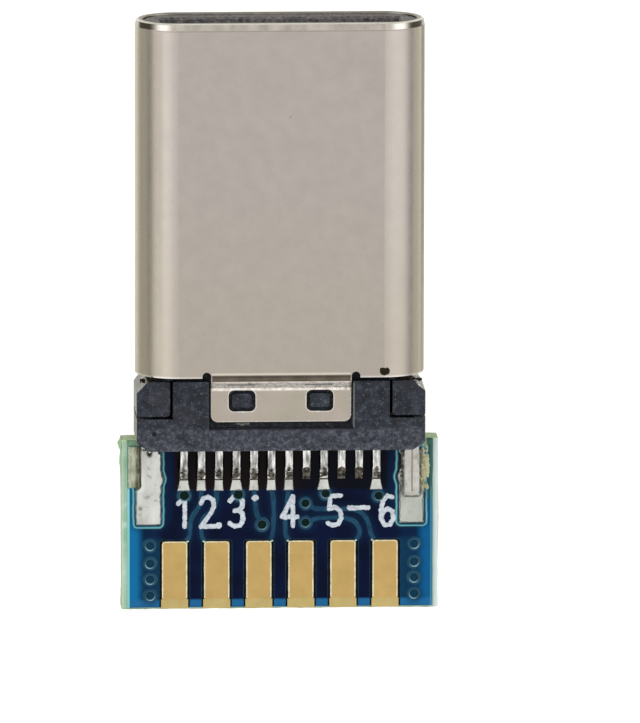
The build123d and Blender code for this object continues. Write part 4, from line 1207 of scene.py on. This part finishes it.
def flux_and_dirt():
    """Flux beside the joints, dirt at the shell's rear edge that is partly painted shade of the gap there,
    and moulding flash in the tab's recess.
    """

    def left(x, y):
        away = rectangle_distance(x, y, -4.33, -3.98, FLANGE_BACK - 1.18, FLANGE_BACK + 0.1, 0.05)
        away = away + 0.035 * wobble(x, y, 5, 3.0) + 0.012 * wobble(x, y, 15, 4.0)
        ridges = 0.5 + 0.5 * wobble(x, y * 0.25, 14, 5.0)
        rise = 0.05 + 0.10 * ridges + 0.10 * smooth_step(-4.15, -4.0, x)
        return np.where(away < 0.02, MASK_TOP + rise * smooth_step(0.02, -0.06, away), BOARD_TOP - HIDDEN)

    def left_olive(x, y):
        return np.clip(smooth_step(-4.16, -4.08, x) * (0.85 + 0.5 * wobble(x, y, 8, 6.0)), 0, 1)

    def crumbs(x, y):
        lump = wobble(x, y, 9, 33.0) + 0.7 * wobble(x, y, 21, 35.0)
        return np.where(lump > -0.05, 0.98 + 0.12 * lump, 0.9)

    ground, front = flat(MASK_TOP), FLANGE_BACK + 0.02
    limits = (-4.34, -3.92, FLANGE_BACK - 1.3, front)
    relief("left_flux", "solder", "flux", limits, 0.016, left, ground, shade_and_dirt=left_olive)
    right = blob(4.11, FLANGE_BACK - 0.66, 0.165, 0.84, 0.15, MASK_TOP, 6.0, 0.25)
    relief("right_flux", "solder", "flux", (3.95, 4.36, FLANGE_BACK - 1.36, front), 0.018, right, ground)
    inner = blob(3.47, FLANGE_BACK - 0.60, 0.10, 0.60, 0.09, MASK_TOP, 9.0)
    relief("inner_flux", "solder", "dirt", (3.33, 3.60, FLANGE_BACK - 1.25, front), 0.018, inner, ground)
    dirt = blob(2.94, SHELL_BACK + 0.17, 0.145, 0.125, 0.05, SHELL_TOP, 12.0, 0.3, 9)
    limits = (2.72, 3.16, SHELL_BACK - 0.01, SHELL_BACK + 0.36)
    relief("edge_dirt", "black_moulding", "dirt", limits, 0.012, dirt, flat(SHELL_TOP))
    # Dark crumbs of dirt behind the shell's rear edge at the ears, which also stand in as painted shade of
    # the gap there
    for side, x_low, x_high in (("left", -4.02, -3.45), ("right", 3.3, 4.02)):
        limits = (x_low, x_high, SHELL_BACK - 0.15, SHELL_BACK - 0.02)
        relief(f"{side}_gap_shade_and_dirt", "black_moulding", "dirt", limits, 0.014, crumbs, flat(0.97))
    crumb = blob(-1.10, TAB_BACK - 0.10, 0.24, 0.05, 0.12, RECESS_FLOOR, 15.0, 0.5, 12)
    limits = (-1.38, -0.66, TAB_BACK - 0.2, TAB_BACK - 0.02)
    relief("recess_flash", "black_moulding", "pale_dirt", limits, 0.012, crumb, flat(RECESS_FLOOR))


def seam_shadows():
    """Black sheet as painted shade in each gap between an ear and the holder beside it."""
    y_low, y_high = SHELL_BACK - 1.15, SHELL_BACK - 0.10
    z = MIDDLE_Z + SEAM_LEVEL
    for name, x_low, x_high in (("left_seam", -3.26, -3.09), ("right_seam", 3.09, 3.26)):
        points = [(x_low, y_low, z), (x_high, y_low, z), (x_high, y_high, z), (x_low, y_high, z)]
        make_piece(name, "black_moulding", "gap", points, [(0, 1, 2, 3)])


def edge_bead(name, line, radius, level, closed=False, slot="shell_steel", material="bright_edge", face=1):
    """Thin burr or line that runs along an edge at a level."""
    points = []
    arc = (0.0, 0.2, 0.4, 0.6, 0.8, 1.0)
    count = len(line)
    for n, (x, y) in enumerate(line):
        before = line[n - 1] if (closed or n > 0) else line[n]
        after = line[(n + 1) % count] if (closed or n < count - 1) else line[n]
        run = Vector((after[0] - before[0], after[1] - before[1])).normalized()
        size = radius * (0.8 + 0.35 * wobble(x, y, 5, 21.0))
        for t in arc:
            off, rise = math.cos(math.pi * t) * size, math.sin(math.pi * t) * size * 0.8
            points.append((x - run.y * off, y + run.x * off, MIDDLE_Z + face * (level + rise)))
    make_piece(name, slot, material, points, grid_faces(count, len(arc), face < 0, loop=closed))


# Lines along a wire pad: kind, half width, front, level, radius, slot and material
PAD_LINES = (
    ("edge", 0.342, WIRE_PAD_FRONT - 0.008, 0.433, 0.024, "gold_plate", "pad_line"),
    ("opening", 0.437, WIRE_PAD_FRONT + 0.056, 0.421, 0.010, "blue_mask", "mask_line"),
)


def pad_lines(board):
    """Pale worn edge of each wire pad, the coating's thin edge around it, and its trace's bare pale end."""
    corner, foot = 0.06, BOARD_BACK + 0.30
    for pad in WIRE_PADS:
        x = wire_pad_x(pad)
        for kind, half, front, level, radius, slot, material in PAD_LINES:
            left, right, shoulder = x - half, x + half, front - corner
            line = between((left, foot), (left, shoulder), 20) + [(left, shoulder)]
            line += between((left + corner, front), (right - corner, front), 8) + [(right - corner, front)]
            line += between((right, shoulder), (right, foot), 20) + [(right, foot)]
            name = f"{board.which}_pad_{kind}_{pad}"
            edge_bead(name, line, radius, level, slot=slot, material=material, face=board.face)
    for pad in WIRE_PADS:
        side = board.face * (1 if pad % 2 else -1)
        x = wire_pad_x(pad) + side * 0.30
        end = (x + side * 0.10, WIRE_PAD_FRONT + 0.035)
        line = between((x, WIRE_PAD_FRONT - 0.045), end, 6) + [end]
        name = f"{board.which}_pad_neck_{pad}"
        edge_bead(name, line, 0.034, 0.437, slot="gold_plate", material="neck", face=board.face)


def rounded_box_line(x_low, x_high, y_low, y_high, corner):
    """Closed line around a rectangle with rounded corners, counter-clockwise."""
    x_low, x_high, y_low, y_high = x_low + corner, x_high - corner, y_low + corner, y_high - corner
    line = []
    for x, y, start in ((x_high, y_low, -90), (x_high, y_high, 0), (x_low, y_high, 90), (x_low, y_low, 180)):
        for count in range(7):
            angle = math.radians(start + 15 * count)
            line.append((x + corner * math.cos(angle), y + corner * math.sin(angle)))
    return subdivided(line, 0.03, round)


def shell_edges():
    """Burrs around the tab's windows and along its end and sides, painted near white as highlights."""
    for number, x in enumerate((-WINDOW_X, WINDOW_X), start=1):
        line = rounded_box_line(x - 0.40, x + 0.40, WINDOW_Y - 0.32, WINDOW_Y + 0.32, 0.17)
        edge_bead(f"window_burr_{number}", line, 0.02, TAB_TOP - 0.006, closed=True)
    side = TAB_SIDE + 0.005
    loop = rounded_box_line(-side, side, TAB_BACK + 0.015, SHELL_BACK + 1, TAB_CORNER)
    outline = [spot for spot in loop if spot[1] < SHELL_BACK - 0.42]
    straight = 1.78
    left = sorted([p for p in outline if p[0] < -straight], key=lambda p: p[0] - p[1])
    right = sorted([p for p in outline if p[0] > straight], key=lambda p: p[0] + p[1])
    bottom = sorted([p for p in outline if abs(p[0]) <= straight], key=lambda p: p[0])
    edge_bead("tab_burr", left + bottom + right, 0.015, TAB_TOP - 0.005)


def build_pieces():
    """Every piece that is added to the CAD parts."""
    for face, letter, places in ((1, "a", range(1, 13)), (-1, "b", LOWER_PLACES)):
        board = BoardFace(face)
        board.coating()
        board.via_barrels()
        shield_joints(board)
        pad_fillets(board)
        pad_lines(board)
        for place in places:
            tail_sleeve(f"tail_{letter}{place:02d}", place, face, place in board.places)
        if board.upper:
            print_marks(board)
    side_burrs()
    flux_and_dirt()
    seam_shadows()
    shell_edges()


# Stage


def make_camera():
    """Camera above the part, leaning towards the nose and a little to the left, with the nose at the top."""
    tilt_sin, tilt_cos = math.sin(CAMERA_TILT), math.cos(CAMERA_TILT)
    back = Vector((-math.sin(CAMERA_SIDE) * tilt_cos, tilt_sin, math.cos(CAMERA_SIDE) * tilt_cos))
    turn = Matrix.Rotation(CAMERA_ROLL, 3, back)
    right = turn @ Vector((math.cos(CAMERA_SIDE), 0, math.sin(CAMERA_SIDE)))
    up = back.cross(right)
    across = (IMAGE_WIDTH / 2 - AXIS_PIXEL_X) / PIXELS_PER_MM
    rise = (IMAGE_HEIGHT / 2 - NOSE_PIXEL_Y) / PIXELS_PER_MM
    along = rise / (tilt_cos + rise * tilt_sin / CAMERA_DISTANCE)
    target = Vector((across, NOSE_Y - along, MIDDLE_Z))
    data = bpy.data.cameras.new("camera")
    data.sensor_width = SENSOR
    data.lens = SENSOR * CAMERA_DISTANCE / (IMAGE_HEIGHT / PIXELS_PER_MM)
    data.clip_start = 0.01
    data.clip_end = 10
    camera = bpy.data.objects.new("camera", data)
    bpy.context.collection.objects.link(camera)
    axes = Matrix((right, up, back)).transposed()
    camera.matrix_world = Matrix.Translation((target + back * CAMERA_DISTANCE) * MM) @ axes.to_4x4()
    bpy.context.scene.camera = camera


def make_floor():
    """Floor: white to the camera, with dull strips in the metal's reflections, and clear from below."""
    mesh = bpy.data.meshes.new("floor")
    half = 0.5
    level = -0.002 * MM
    corners = [(-half, -half, level), (half, -half, level), (half, half, level), (-half, half, level)]
    mesh.from_pydata(corners, [], [(0, 1, 2, 3)])
    floor = bpy.data.objects.new("floor", mesh)
    bpy.context.collection.objects.link(floor)
    g = Graph("floor")
    g.colour = linear(204, 202, 190)
    g.finish(0.9)
    straight = g.product(g.add("LightPath", "Is Camera Ray"), 0.80)
    through = g.product(g.add("LightPath", "Is Transmission Ray"), 0.62)
    close = g.math("MINIMUM", g.step(g.x, -6.8, -4.8, 0.0, 0.6), g.step(g.x, 4.8, 8.5, 0.42, 0.1))
    mirrored = g.product(g.add("LightPath", "Is Glossy Ray"), close)
    seen = g.math("MAXIMUM", g.math("MAXIMUM", straight, through), mirrored)
    g.put(g.shader.inputs["Emission Strength"], seen)
    g.shader.inputs["Emission Color"].default_value = (1, 1, 1, 1)
    below, clear = g.add("NewGeometry", "Backfacing"), g.add("BsdfTransparent", 0)
    either = g.add("MixShader", 0, {0: below, 1: g.shader.outputs[0], 2: clear})
    output = next(node for node in g.nodes if node.type == "OUTPUT_MATERIAL")
    g.put(output.inputs["Surface"], either)
    mesh.materials.append(g.material)


def make_lamp(name, place, size, level):
    """Soft rectangular lamp that faces the part; level 1 looks as bright as a white surround."""
    data = bpy.data.lights.new(name, "AREA")
    data.shape = "RECTANGLE"
    data.size, data.size_y = size[0] * MM, size[1] * MM
    data.energy = level * math.pi * data.size * data.size_y
    lamp = bpy.data.objects.new(name, data)
    lamp.location = Vector(place) * MM
    lamp.rotation_mode = "QUATERNION"
    lamp.rotation_quaternion = Vector(place).to_track_quat("Z", "Y")
    bpy.context.collection.objects.link(lamp)


def make_lights():
    """Soft boxes beside the part and behind it, in a pale surround that darkens to the horizon."""
    make_lamp("left_box", (-142, 10, 158), (140, 260), 0.36)
    make_lamp("right_box", (142, 30, 158), (140, 260), 0.34)
    make_lamp("rear_box", (0, -190, 120), (170, 70), 0.5)
    world = bpy.data.worlds.new("surround")
    bpy.context.scene.world = world
    world.use_nodes = True
    tree = Nodes(world.node_tree)
    height = tree.add("SeparateXYZ", "Z", {0: tree.add("TexCoord", "Generated")})
    stops = ((0.0, 0.36), (0.2, 0.5), (0.5, 0.92), (0.9, 0.86), (0.97, 0.72))
    surround = tree.ramp(height, *((place, level, level, level, 1) for place, level in stops))
    seen = tree.mix(tree.add("LightPath", "Is Camera Ray"), surround, (1, 1, 1, 1))
    tree.put(tree.nodes["Background"].inputs["Color"], seen)


bpy.context.scene.view_settings.view_transform = "Standard"
dress_nodes()
build_pieces()
make_camera()
make_floor()
make_lights()
